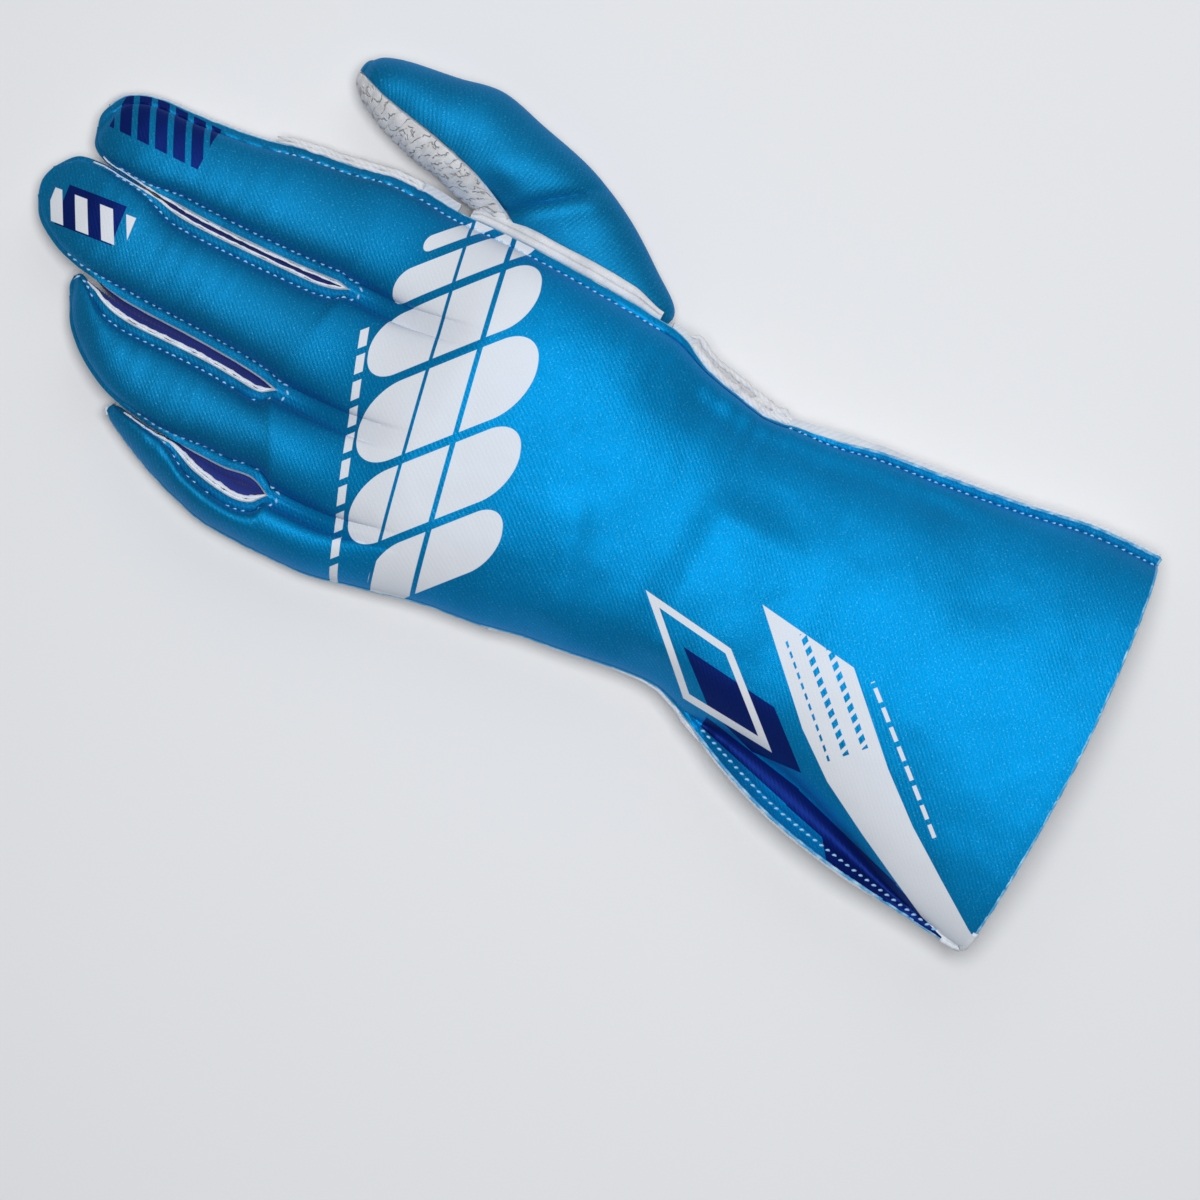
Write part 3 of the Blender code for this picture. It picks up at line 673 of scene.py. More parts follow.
def cloth_places(grid, middle):
    """Places on the flat cloth: distance across from the middle column, and along."""
    run = lengths(grid)
    return np.dstack([run - run[:, middle : middle + 1] + grid[0, middle, 0], grid[..., 1]])


def evened(hand, grids, each):
    """Smooths the heights along the glove where the fingers leave the hand."""
    for number, grid in enumerate(grids):
        block = hand[:, number * each : (number + 1) * each + 1]
        whole = np.concatenate([block[-28:, :, 2], grid[1:24, :, 2]])
        free = np.zeros(whole.shape[1])
        free[FLANGE + 1 : FLANGE + DOME] = 1.0
        free[[FLANGE + 1, FLANGE + DOME - 1]] = 0.5
        for _ in range(60):
            whole[1:-1] += free * ((whole[:-2] + whole[2:]) / 2 - whole[1:-1]) / 2
        block[-28:, :, 2] = whole[:28]
        grid[:24, :, 2] = whole[27:]


def panel(side):
    """The whole back (side 1) or palm (side -1), in one sheet."""
    sheet = Sheet()
    hand, plain = hand_grid(side)
    made = [finger_grid(finger, side) for finger in FINGERS]
    evened(hand, [grid for grid, _ in made], 2 * FLANGE + DOME)
    ids = sheet.add(hand, cloth_places(plain, hand.shape[1] // 2))
    sheet.quads(ids, side < 0)
    each = 2 * FLANGE + DOME
    fingers = []
    for number, (grid, tip_edge) in enumerate(made):
        cloth = cloth_places(grid * np.array([1.0, 1.0, 0.0]), each // 2)
        cloth[..., 0] += sheet.cloth[ids[-1, number * each + each // 2], 0] - cloth[0, each // 2, 0]
        base = ids[-1, number * each : (number + 1) * each + 1]
        rows = np.concatenate([base[None], sheet.add(grid[1:], cloth[1:])])
        sheet.quads(rows, side < 0)
        shown = [rows[-1, FLANGE : FLANGE + DOME + 1]]
        first, end = grid[-1, FLANGE : FLANGE + DOME + 1], tip_edge
        for step in range(1, FLANGE + 1):
            line = first + (end - first) * step / FLANGE
            line[:, 2] += (ROLL_DOWN if side > 0 else 0.0) * (step / FLANGE) ** 1.5
            spots = cloth[-1, FLANGE : FLANGE + DOME + 1] + np.array([0.0, step])
            inner = sheet.add(line[1:-1], spots[1:-1])
            shown.append(
                np.concatenate([[rows[-1, FLANGE - step]], inner, [rows[-1, FLANGE + DOME + step]]])
            )
        sheet.quads(np.array(shown), side < 0)
        fingers.append(rows)
    return sheet, ids, fingers


def palm_panel():
    sheet, _, _ = panel(-1)

    def kept(centres):
        share = centres[:, 1] / HAND_LENGTH
        edge = section(centres[:, 1], "radial", HAND_WIDTH)
        opening = ALLOWANCE + 1.5 + 6.0 * ease((share - 0.75) / 0.3)
        at_thumb = (THUMB_FROM < share) & (share < THUMB_TO) & (centres[:, 0] > edge - opening)
        return ~at_thumb

    sheet.keep(kept)
    return sheet


def side_wall(left_finger, right_finger, bow):
    """The strip between two fingers: down one side, round the crotch and up the other."""
    sides = []
    for finger, on_right in ((left_finger, True), (right_finger, False)):
        edges = outline(finger)
        outer = edges.right if on_right else edges.left
        into = edges.into_right if on_right else edges.into_left
        inner = outer + into * (HEM * edges.depth)[:, None]
        back, palm = finger_seams(finger, 1)[on_right], finger_seams(finger, -1)[on_right]
        last = int(np.sum(back - palm > 2 * (HALF_STACK + WALL_PLY) - FIT))
        slot = ease((left_finger.ends_right * HAND_LENGTH - outer[:, 1]) / SLOT_FADE)
        bulge = WALL_AT_TIP + (bow - WALL_AT_TIP) * slot
        sides.append((outer[:last], inner[:last], back[:last], palm[:last], bulge[:last]))
    (outer_a, inner_a, back_a, palm_a, bulge_a), (outer_b, inner_b, back_b, palm_b, bulge_b) = sides
    crotch = outer_a[0]
    turn = np.linspace(np.pi, 2 * np.pi, 15)[1:-1]
    round_inner = crotch + HEM * ALLOWANCE * np.column_stack([np.cos(turn), np.sin(turn)])
    outer = np.concatenate([outer_a[::-1], np.repeat(crotch[None], len(turn), axis=0), outer_b])
    inner = np.concatenate([inner_a[::-1], round_inner, inner_b])
    high = np.concatenate([back_a[::-1], np.full(len(turn), back_a[0]), back_b])
    low = np.concatenate([palm_a[::-1], np.full(len(turn), palm_a[0]), palm_b])
    bulge = np.concatenate([bulge_a[::-1], np.full(len(turn), 1.2), bulge_b])[:, None]
    shift = PLY + FIT + WALL_PLY / 2
    high, low = high - shift, low + shift
    free = inner + (outer - inner) * WALL_REACH
    columns = [np.column_stack([free, high]), np.column_stack([(free + inner) / 2, high])]
    for share in np.linspace(0, 1, 9):
        place = inner + (outer - inner) * bulge * np.sin(np.pi * share) ** 0.6
        columns.append(np.column_stack([place, high + (low - high) * share]))
    columns += [np.column_stack([(free + inner) / 2, low]), np.column_stack([free, low])]
    grid = np.stack(columns, axis=1)
    sheet = Sheet()
    run = lengths(np.column_stack([inner, high])[None])[0]
    cloth = np.dstack([np.repeat(run[:, None], grid.shape[1], axis=1), lengths(grid)])
    sheet.quads(sheet.add(grid, cloth))
    return sheet


def thumb_rings():
    """The thumb's rows: middle, half width towards the inner edge, low and high, colour turn."""
    places = np.arange(len(THUMB))
    at = np.linspace(0, len(THUMB) - 1, THUMB_ROWS)
    value = {name: smooth(at, places, column(THUMB, name)) for name in Ring._fields}
    inner = np.column_stack([value["inner_x"] * HAND_WIDTH, value["inner_y"] * HAND_LENGTH])
    outer = np.column_stack([value["outer_x"] * HAND_WIDTH, value["outer_y"] * HAND_LENGTH])
    low, high = FINGER_DEPTH * value["low"], FINGER_DEPTH * value["high"]
    return (inner + outer) / 2, (inner - outer) / 2, low, high, value["colour"]


def thumb_panel(back):
    """The blue back of the thumb, or its white palm side."""
    middle, half, low, high, colour = thumb_rings()
    if back:
        first, last, inward = colour + SEAM_TURN, np.full(len(low), UNDER_TURN - SEAM_TURN), FIT
    else:
        first, last = np.full(len(low), UNDER_TURN + SEAM_TURN), colour - SEAM_TURN + 2.0
        inward = -FIT
    steps = np.linspace(0, 1, THUMB_STEPS + 1)
    turn = (first[:, None] + (last - first)[:, None] * steps) * np.pi
    place = middle[:, None] + half[:, None] * np.cos(turn)[..., None]
    height = (high + low)[:, None] / 2 + (high - low)[:, None] / 2 * np.sin(turn)
    grid = np.dstack([place, height])
    tip = np.array(THUMB_TIP) * np.array([HAND_WIDTH, HAND_LENGTH, FINGER_DEPTH])
    tip = tip + np.array([inward, 0.0, 0.0])
    centre = np.array([*middle[-1], (high[-1] + low[-1]) / 2])
    caps = []
    for angle in np.linspace(0, np.pi / 2, THUMB_CAP + 1)[1:-1]:
        pulled = centre + (grid[-1] - centre) * np.cos(angle)
        caps.append(pulled + (tip - centre) * np.sin(angle))
    grid = np.concatenate([grid, np.array(caps)])
    top = ease((grid[..., 2] - 4.0) / 8.0)
    spread = np.array([1.0, 1.0, 0.6])
    grid[..., 2] += top * (0.5 * wavy(grid * spread, 13.0, 41) + 0.2 * wavy(grid * spread, 6.0, 42))
    if back:
        grid[..., 2] += top * thumb_crease(grid)
    else:
        bump = embossing(grid)
        outward = np.dstack([np.cos(turn), np.sin(turn)])
        unit = half / np.linalg.norm(half, axis=1)[:, None]
        push = np.zeros_like(grid)
        rows = len(half)
        push[:rows, :, :2] = unit[:, None] * outward[..., :1]
        push[:rows, :, 2] = outward[..., 1]
        fade = ease(np.minimum(steps, 1 - steps) / 0.06)
        grid += push * (bump * fade)[..., None]
    grid[..., 2] = np.maximum(grid[..., 2], PLY)
    sheet = Sheet()
    sheet.off_print = 300.0
    run = lengths(grid)
    along = lengths(grid[:, THUMB_STEPS // 2][None])[0]
    cloth = np.dstack([run - run[:, -1:] / 2, np.repeat(along[:, None], len(steps), axis=1)])
    ids = sheet.add(grid, cloth)
    sheet.quads(ids)
    end = sheet.add([tip], [[0.0, along[-1] + 1]])
    for k in range(THUMB_STEPS):
        sheet.faces.append([int(ids[-1, k]), int(ids[-1, k + 1]), int(end[0])])
    return sheet, grid


def thumb_crease(grid):
    """The crease across the thumb's root and the hollow where it leaves the hand."""
    x, y = grid[..., 0], grid[..., 1]
    off, beyond = off_line(x, y, (49.0, 203.5), (66.5, 182.0))
    crease = -1.7 * np.exp(-(off**2 / 3.2 + beyond**2 / 30))
    hollow = -2.8 * np.exp(-((x - 53.5) ** 2 + (y - 203.5) ** 2) / 26)
    return crease + hollow + 0.8 * np.exp(-((off + 4.0) ** 2 / 9.0 + beyond**2 / 40))


def embossing(grid):
    """The wavy embossed cells of the thumb's palm side."""
    x = grid[..., 0] + 0.9 * wavy(grid, 6.0, 51)
    along = grid[..., 1] + 0.9 * wavy(grid, 6.0, 52)
    cells = np.sin(2 * np.pi * (along + 0.5 * x) / 3.0)
    cells += 0.5 * np.sin(2 * np.pi * (x - 0.6 * along) / 4.1)
    return 0.34 * np.tanh(2.0 * cells)


def welt(edge):
    """The folded strip that edges the back panel beside the thumb."""
    rows = []
    for share in np.linspace(WELT_FROM, WELT_TO, WELT_ROWS):
        y = share * HAND_LENGTH
        x = np.interp(y, edge[:, 1], edge[:, 0])
        z = np.interp(y, edge[:, 1], edge[:, 2]) - HALF_STACK
        ends = ease((share - WELT_FROM) / 0.05) * ease((WELT_TO - share) / 0.015)
        row = []
        for fold in WELT_FOLD:
            out = FIT + fold.out * WELT_WIDTH * (0.45 + 0.55 * ends)
            if fold.out < WELT_FOLD[0].out:
                out = -WELT_TUCK
            row.append((x + out, y, z + fold.up * PLY))
        rows.append(row)
    grid = np.array(rows)
    out = np.array([fold.out for fold in WELT_FOLD])
    grid[..., 2] += 0.3 * wavy(grid * np.array([0.4, 1.0, 1.0]), 7.0, 61) * out
    grid[..., 0] += 0.35 * wavy(grid * np.array([0.0, 1.0, 0.0]), 9.0, 62) * out
    sheet = Sheet()
    cloth = np.dstack([lengths(grid), grid[..., 1]])
    sheet.quads(sheet.add(grid, cloth))
    return sheet


def tube(path, radius, sides, seed):
    """A round strip along a path in millimetres, rough like a cut edge."""
    path = np.asarray(path, float)
    run = np.gradient(path, axis=0)
    run /= np.linalg.norm(run, axis=1)[:, None]
    across = np.cross(run, [0.0, 0.0, 1.0])
    across /= np.linalg.norm(across, axis=1)[:, None]
    up = np.cross(across, run)
    turn = np.linspace(0, 2 * np.pi, sides + 1)[:-1]
    ring = across[:, None] * np.cos(turn)[:, None] + up[:, None] * np.sin(turn)[:, None]
    grid = path[:, None] + ring * np.asarray(radius)[:, None, None]
    grid = grid + ring * (0.45 * np.asarray(radius)[:, None] * wavy(grid, 0.8, seed))[..., None]
    sheet = Sheet()
    around = np.linspace(0, 1, sides + 1)[:-1] * 2 * np.pi * float(np.mean(radius))
    along = lengths(path[None])[0]
    cloth = np.dstack(np.broadcast_arrays(around[None], along[:, None]))
    sheet.closed(sheet.add(grid, cloth))
    return sheet


def joined(sheets):
    """Several sheets as one."""
    whole = Sheet()
    for sheet in sheets:
        first = len(whole.points)
        whole.add(sheet.points, sheet.cloth)
        whole.faces.extend([[n + first for n in face] for face in sheet.faces])
    return whole


def spaced(path, pitch):
    """The path's points again, a pitch apart, with the directions there."""
    path = np.asarray(path, float)
    run = lengths(path[None])[0]
    at = np.arange(pitch / 2, run[-1], pitch)
    points, ahead, behind = (
        np.column_stack([np.interp(at + shift, run, values) for values in path.T])
        for shift in (0.0, 0.3, -0.3)
    )
    ahead = ahead - behind
    return points, ahead / np.linalg.norm(ahead, axis=1)[:, None]


def stitch_line(path, ground, seed):
    """Stitches laid on the fabric below a path on the plan."""
    sheets = []
    sides, rings = 6, 5
    turn = np.linspace(0, 2 * np.pi, sides + 1)[:-1]
    points, directions = spaced(path, STITCH_PITCH)
    for number, (point, ahead) in enumerate(zip(points, directions)):
        hit, normal, _, _ = ground.ray_cast(Vector((*point[:2], 80.0)), Vector((0, 0, -1)))
        if hit is None or normal.z < 0.05:
            continue
        up = np.array(normal)
        ahead = np.array([ahead[0], ahead[1], 0.0])
        ahead -= up * ahead.dot(up)
        ahead /= np.linalg.norm(ahead)
        sway = STITCH_SLANT + 0.45 * noise.noise(Vector((number * 0.7, seed, 0)))
        side = np.cross(up, ahead)
        ahead = ahead * math.cos(sway) + side * math.sin(sway)
        side = np.cross(up, ahead)
        long = STITCH_PITCH * (0.66 + 0.10 * noise.noise(Vector((number * 1.3, seed + 5, 0))))
        rows = []
        for share in np.linspace(-1, 1, rings):
            thick = THREAD * math.sqrt(max(1 - 0.75 * share * share, 0.05))
            centre = np.array(hit) + ahead * (share * long / 2) + up * (0.20 - 0.30 * share * share)
            rows.append(centre + thick * (np.cos(turn)[:, None] * side + np.sin(turn)[:, None] * up))
        sheet = Sheet()
        grid = np.array(rows)
        sheet.closed(sheet.add(grid, np.zeros(grid.shape[:2] + (2,))), True)
        sheets.append(sheet)
    return sheets


def linked(name, data):
    """A new object in the scene."""
    made = bpy.data.objects.new(name, data)
    bpy.context.scene.collection.objects.link(made)
    return made


def piece_of(name, sheet, finishes):
    """An object of the sheet's faces, in the frame and in metres."""
    mesh = bpy.data.meshes.new(name)
    used = np.unique(np.concatenate([np.array(face) for face in sheet.faces]))
    number = np.full(len(sheet.points), -1)
    number[used] = np.arange(len(used))
    points = (sheet.points[used] - PLAN_ORIGIN) * MILLIMETRE
    plan = sheet.points[used, :2] + np.array([sheet.off_print, 0.0])
    mesh.from_pydata(points.tolist(), [], [number[face].tolist() for face in sheet.faces])
    mesh.validate()
    corners = np.empty(len(mesh.loops), np.int32)
    mesh.loops.foreach_get("vertex_index", corners)
    for layer, places in (("flat", plan), ("cloth", sheet.cloth[used])):
        made = mesh.uv_layers.new(name=layer)
        made.data.foreach_set("uv", places[corners].astype(np.float32).ravel())
    made = linked(name, mesh)
    for finish in finishes:
        mesh.materials.append(finish)
    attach(made, "root")
    return made


def chosen(piece):
    bpy.ops.object.select_all(action="DESELECT")
    piece.select_set(True)
    bpy.context.view_layer.objects.active = piece


def thickened(piece, ply, offset):
    """Gives the cloth its thickness; the cut edge and the inside take the second finish."""
    chosen(piece)
    thick = piece.modifiers.new("Fabric", "SOLIDIFY")
    thick.thickness = ply * MILLIMETRE
    thick.offset = offset
    thick.material_offset = 1
    thick.material_offset_rim = 1
    bpy.ops.object.modifier_apply(modifier="Fabric")
    bpy.ops.object.shade_smooth_by_angle(angle=math.radians(50))
    return piece


def cloth_piece(name, sheet, ply, offset, finishes, node):
    """One panel of the glove, which stands for its CAD node."""
    made = piece_of(name, sheet, finishes)
    thickened(made, ply, offset)
    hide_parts(node)
    return made


class Field:
    """A number that a shader works out over the surface, with Python's own signs."""

    def __init__(self, finish, socket):
        self.finish = finish
        self.socket = socket

    def sum_of(self, operation, *others, clamp=False):
        values = {0: self}
        values.update({k + 1: other for k, other in enumerate(others)})
        made = self.finish.node(
            "ShaderNodeMath", {"operation": operation, "use_clamp": clamp}, values
        )
        return Field(self.finish, made.outputs[0])

    def __add__(self, other):
        return self.sum_of("ADD", other)

    def __radd__(self, other):
        return self.sum_of("ADD", other)

    def __sub__(self, other):
        return self.sum_of("SUBTRACT", other)

    def __rsub__(self, other):
        return (self * -1.0) + other

    def __mul__(self, other):
        return self.sum_of("MULTIPLY", other)

    def __rmul__(self, other):
        return self.sum_of("MULTIPLY", other)

    def larger(self, other):
        return self.sum_of("MAXIMUM", other)

    def smaller(self, other):
        return self.sum_of("MINIMUM", other)

    def size(self):
        return self.sum_of("ABSOLUTE")

    def sine(self):
        return self.sum_of("SINE")

    def root(self):
        return self.sum_of("SQRT")

    def repeated(self, pitch):
        """Runs from 0 to pitch, over and over."""
        return self.sum_of("FLOORED_MODULO", pitch)

    def clamped(self):
        return self.sum_of("ADD", 0.0, clamp=True)


class Finish:
    """One material and its nodes."""

    def __init__(self, name, roughness, sheen=0.0, sheen_tint=(1.0, 1.0, 1.0)):
        self.material = bpy.data.materials.new(name)
        self.material.use_nodes = True
        self.tree = self.material.node_tree
        self.shader = self.tree.nodes["Principled BSDF"]
        self.shader.inputs["Roughness"].default_value = roughness
        self.shader.inputs["Sheen Weight"].default_value = sheen
        self.shader.inputs["Sheen Roughness"].default_value = 0.45
        self.shader.inputs["Sheen Tint"].default_value = (*sheen_tint, 1.0)

    def node(self, kind, settings, values):
        """Adds a node: its settings first, then the values or links of its sockets."""
        made = self.tree.nodes.new(kind)
        for name, value in settings.items():
            setattr(made, name, value)
        for key, value in values.items():
            self.feed(made.inputs[key], value)
        return made

    def feed(self, socket, value):
        if isinstance(value, Field):
            self.tree.links.new(value.socket, socket)
        else:
            socket.default_value = value

    def places(self, layer):
        """The two numbers of a UV layer."""
        made = self.node("ShaderNodeUVMap", {"uv_map": layer}, {})
        apart = self.node("ShaderNodeSeparateXYZ", {}, {0: Field(self, made.outputs[0])})
        return Field(self, apart.outputs[0]), Field(self, apart.outputs[1])

    def cloth(self):
        """Places across and along the flat cloth, and both as one vector."""
        u, v = self.places("cloth")
        made = self.node("ShaderNodeCombineXYZ", {}, {0: u, 1: v})
        return u, v, Field(self, made.outputs[0])

    def grain(self, place, scale, detail=2.0, rough=0.5):
        """Noise between 0 and 1."""
        made = self.node(
            "ShaderNodeTexNoise",
            {"noise_dimensions": "3D"},
            {"Vector": place, "Scale": scale, "Detail": detail, "Roughness": rough},
        )
        return Field(self, made.outputs[0])

    def spots(self, place, scale, level, sharpness, detail=2.0, rough=0.5):
        """Patches where the noise is above a level, from 0 to 1."""
        return ((self.grain(place, scale, detail, rough) - level) * sharpness).clamped()

    def mixed(self, share, first, second):
        """A colour between two colours."""
        made = self.node("ShaderNodeMix", {"data_type": "RGBA"}, {0: share})
        self.feed(made.inputs[6], first)
        self.feed(made.inputs[7], second)
        return Field(self, made.outputs[2])

    def brightened(self, colour, amount):
        """The colour times a number."""
        made = self.node(
            "ShaderNodeVectorMath", {"operation": "SCALE"}, {0: colour, "Scale": amount}
        )
        return Field(self, made.outputs[0])

    def finish(self, colour, height=None, depth=0.1):
        self.feed(self.shader.inputs["Base Color"], colour)
        if height is not None:
            bump = self.node(
                "ShaderNodeBump", {}, {"Distance": depth * MILLIMETRE, "Height": height}
            )
            self.feed(self.shader.inputs["Normal"], Field(self, bump.outputs[0]))
        return self.material


def within(distance):
    """1 inside a shape, 0 outside it, with a soft edge."""
    return (0.5 - distance * (1.0 / PRINT_EDGE)).clamped()


def polygon(x, y, corners):
    """Distance outside a convex outline on the plan, less than 0 within it."""
    twice = 0.0
    for (x0, y0), (x1, y1) in zip(corners, corners[1:] + corners[:1]):
        twice += x0 * y1 - x1 * y0
    turned = 1.0 if twice > 0 else -1.0
    far = None
    for (x0, y0), (x1, y1) in zip(corners, corners[1:] + corners[:1]):
        long = math.hypot(x1 - x0, y1 - y0)
        across, ahead = turned * (y1 - y0) / long, turned * (x0 - x1) / long
        gap = x * across + y * ahead - (x0 * across + y0 * ahead)
        far = gap if far is None else far.larger(gap)
    return far


def rounded(x, y, half, reach, corner):
    """Distance outside a rectangle with round corners, from its middle."""
    over_x = (x.size() - (half - corner)).larger(0.0)
    over_y = (y.size() - (reach - corner)).larger(0.0)
    return (over_x * over_x + over_y * over_y).root() - corner


def turned_plan(x, y, centre, angle):
    """Plan coordinates along and across a direction, from a centre."""
    along = (x - centre[0]) * math.cos(angle) + (y - centre[1]) * math.sin(angle)
    across = (y - centre[1]) * math.cos(angle) - (x - centre[0]) * math.sin(angle)
    return along, across


def bars_of(place, pitch, half):
    """Distance outside bars that repeat at a pitch."""
    return (place.repeated(pitch) - pitch / 2).size() - half


def print_masks(x, y):
    """Where the white and the navy print lie on the back, as two masks. The navy strips along the
    fold on the cuff's ulnar side are partly navy print and partly painted shade in the fold's valley.
    """
    u, v = turned_plan(x, y, (-1.0, 186.5), math.radians(21))
    leaning = u + 0.55 * v
    bars = None
    for bar in HAND_BARS:
        shape = rounded(leaning - bar.place, v - bar.middle, bar.half, bar.reach, bar.corner)
        bars = shape if bars is None else bars.smaller(shape)
    cut = (v + leaning * 0.16 + 5.0).size() - 0.75
    second = (v + leaning * 0.16 - 8.0).size() - 0.5
    lane = ((v - 24.4).size() - 1.1).larger((leaning + 6.0).size() - 37.0)
    lane = lane.larger(bars_of(leaning + 3.0, 7.0, 2.5))
    band = within(bars) * (1 - within(cut.smaller(second))).larger(0.0)
    band = band.larger(within(lane))
    left_of_stripe = (
        (-7.0, 88.8), (-30.5, 63.8), (-39.6, 51.2), (-47.3, 36.4), (-53.7, 23.1), (-58.9, 11.9),
        (-62.5, 0.0), (-63.5, -8.0), (-17.1, -8.0),
    )
    right_of_stripe = (
        (-10.0, 60.0), (-28.9, 39.3), (-39.1, 26.2), (-47.9, 12.6), (-55.8, 0.0), (-60.0, -8.0),
        (20.0, -8.0), (20.0, 60.0),
    )
    stripe = within(polygon(x, y, left_of_stripe).larger(polygon(x, y, right_of_stripe) * -1.0))
    along, across = turned_plan(x, y, (-18.5, 62.0), math.atan2(0.749, 0.663))
    rows = bars_of(across + 0.8, 5.2, 0.85)
    ticks = bars_of(along + across * 0.5, 2.9, 0.85)
    area = (along.size() - 17.0).larger((across + 0.8).size() - 7.6)
    stripe = stripe * (1 - within(rows.larger(ticks).larger(area)))
    frame_line = polygon(x, y, ((-18.3, 117.4), (-21.1, 90.4), (-39.9, 67.4), (-38.6, 94.8)))
    border = within((frame_line + 0.9).size() - 0.9)
    run, off = turned_plan(x, y, (-24.9, 36.9), math.atan2(34.2, 28.2))
    dash = (off.size() - 0.55).larger(run.size() - 22.0)
    dash = dash.larger(bars_of(run + 1.0, 5.5, 2.0))
    tip_run, tip_off = turned_plan(x, y, (-2.5, 294.6), math.radians(97))
    tip = (tip_run.size() - 12.0).larger(tip_off.size() - 4.4)
    tip_bars = bars_of(tip_run + tip_off * 0.45 + 1.6, 7.6, 1.9)
    white = band.larger(stripe).larger(border).larger(within(dash))
    white = white.larger(within(tip.larger(tip_bars)))
    navy = within(
        polygon(x, y, ((-26.6, 101.6), (-29.1, 73.0), (-40.9, 58.1), (-42.4, 71.8), (-37.7, 87.7)))
    )
    # the first three strips run down the fold on the cuff's ulnar side: partly navy print, partly
    # painted shade in the fold's valley; the last one is the print at the cuff's corner
    for corners in (
        ((-40.0, 87.0), (-43.0, 87.0), (-50.5, 56.0), (-45.0, 56.0)),
        ((-45.0, 57.0), (-50.5, 57.0), (-58.5, 22.0), (-54.5, 22.0)),
        ((-54.5, 23.0), (-58.5, 23.0), (-62.5, 3.0), (-60.0, 5.0)),
        ((-52.0, 45.6), (-60.5, 39.0), (-70.0, 30.0), (-70.0, 1.0), (-61.0, 1.0), (-50.0, 41.0)),
    ):
        navy = navy.larger(within(polygon(x, y, corners)))
    badge = (tip_run.size() - 8.5).larger((tip_off + 0.8).size() - 5.6)
    navy = navy.larger(within(badge))
    along, across = turned_plan(x, y, (28.4, 288.9), math.radians(92))
    mark = (along.size() - 13.5).larger(across.size() - 6.4)
    navy = navy.larger(within(mark.larger(bars_of(along + across * 0.5 + 2.0, 5.4, 1.8))))
    return white, navy


def twill(finish, lean, pitch):
    """Height of the twill's fine ribs, broken up by loose fibres."""
    u, v, place = finish.cloth()
    drift = finish.grain(place, 0.35, 2.0) * 2.4
    across = (u * math.cos(lean) + v * math.sin(lean)) * (2 * math.pi / pitch)
    ribs = (across + drift).sine() * 0.5 + 0.5
    fibre = finish.grain(place, 2.6, 3.0, 0.65)
    return ribs, fibre, place


def blue_twill():
    finish = Finish("blue_twill", 0.52, sheen=0.06, sheen_tint=(0.2, 0.6, 1.0))
    finish.shader.inputs["Specular Tint"].default_value = (0.05, 0.55, 1.0, 1.0)
    x, y = finish.places("flat")
    ribs, fibre, place = twill(finish, math.radians(-45), 1.02)
    tipward = ((y - 190.0) * (1 / 45.0)).larger((x - 48.0) * (1 / 8.0)).clamped()
    blue = finish.mixed(tipward, (0.001, 0.26, 0.60, 1.0), (0.004, 0.215, 0.47, 1.0))
    patch = finish.grain(place, 0.045, 3.0)
    tone = 0.83 + ribs * 0.09 + (fibre - 0.5) * 0.70 + (patch - 0.5) * 0.30
    blue = finish.brightened(blue, tone)
    # painted glints: sparse specks of lighter blue that stand in for the satin catching the light
    painted_glint = finish.spots(place, 1.7, 0.58, 6.0, 2.0, 0.6)
    blue = finish.mixed(painted_glint * 0.45, blue, (0.10, 0.52, 0.85, 1.0))
    white, navy = print_masks(x, y)
    colour = finish.mixed(navy * 0.97, blue, (0.006, 0.008, 0.15, 1.0))
    speck = finish.grain(place, 4.5, 2.0)
    silver = finish.brightened((0.76, 0.78, 0.83), 0.86 + speck * 0.28)
    colour = finish.mixed(white * 0.97, colour, silver)
    weave = ribs * 0.24 + fibre * 1.0
    height = weave * (1 - white * 0.45)
    satin = SATIN * (1 - white)
    finish.feed(finish.shader.inputs["Metallic"], satin)
    return finish.finish(colour, height, 0.10)


def plain_cloth(name, colour, dark, roughness, lean, pitch):
    """A white or navy knit with a little soiling."""
    finish = Finish(name, roughness, sheen=0.2)
    ribs, fibre, place = twill(finish, lean, pitch)
    soil = finish.spots(place, 0.07, 0.42, 2.4, 4.0, 0.6)
    shade = finish.mixed(soil, (*colour, 1.0), (*dark, 1.0))
    tone = 0.90 + ribs * 0.08 + (fibre - 0.5) * 0.22
    return finish.finish(finish.brightened(shade, tone), ribs * 0.5 + fibre * 0.8, 0.12)


def embossed_palm():
    """White grip fabric with wandering grooves, darkened with painted shade."""
    finish = Finish("embossed_palm", 0.7, sheen=0.15)
    u, v, place = finish.cloth()
    sway = finish.grain(place, 0.16, 3.0, 0.6) * 13.0
    ridge = ((v + u * 0.3 + sway).repeated(3.2) - 1.6).size()
    broken = finish.spots(place, 0.5, 0.36, 7.0, 1.0)
    groove_and_shade = (1 - ridge * 2.6).clamped() * broken
    soil = finish.spots(place, 0.12, 0.45, 2.6, 4.0, 0.6)
    cloth = finish.mixed(soil * 0.7, (0.78, 0.78, 0.80, 1.0), (0.52, 0.49, 0.47, 1.0))
    # painted shade: the grooves are darkened towards grey, as shade falls in them; the same grooves
    # are also bumped below
    cloth = finish.mixed(groove_and_shade * 0.45, cloth, (0.24, 0.24, 0.25, 1.0))
    fibre = finish.grain(place, 2.4, 3.0, 0.65)
    return finish.finish(finish.brightened(cloth, 0.8 + fibre * 0.4), fibre * 0.4 - groove_and_shade * 1.6, 0.3)


def welt_finish():
    """White knit with a line of painted shade in the groove between the welt's two folds."""
    finish = Finish("white_welt", 0.7, sheen=0.2)
    u, _, place = finish.cloth()
    fibre = finish.grain(place, 2.4, 3.0, 0.65)
    # painted shade: a dark line along the groove between the welt's two folds
    line = (1 - (u - WELT_VALLEY + (finish.grain(place, 0.3) - 0.5) * 0.5).size() * 1.15).clamped()
    soil = finish.spots(place, 0.09, 0.42, 2.4, 4.0, 0.6)
    cloth = finish.mixed(soil, (0.80, 0.81, 0.84, 1.0), (0.55, 0.56, 0.60, 1.0))
    cloth = finish.mixed(line * 0.7, cloth, (0.16, 0.20, 0.28, 1.0))
    return finish.finish(finish.brightened(cloth, 0.85 + fibre * 0.3), fibre - line * 2.0, 0.25)


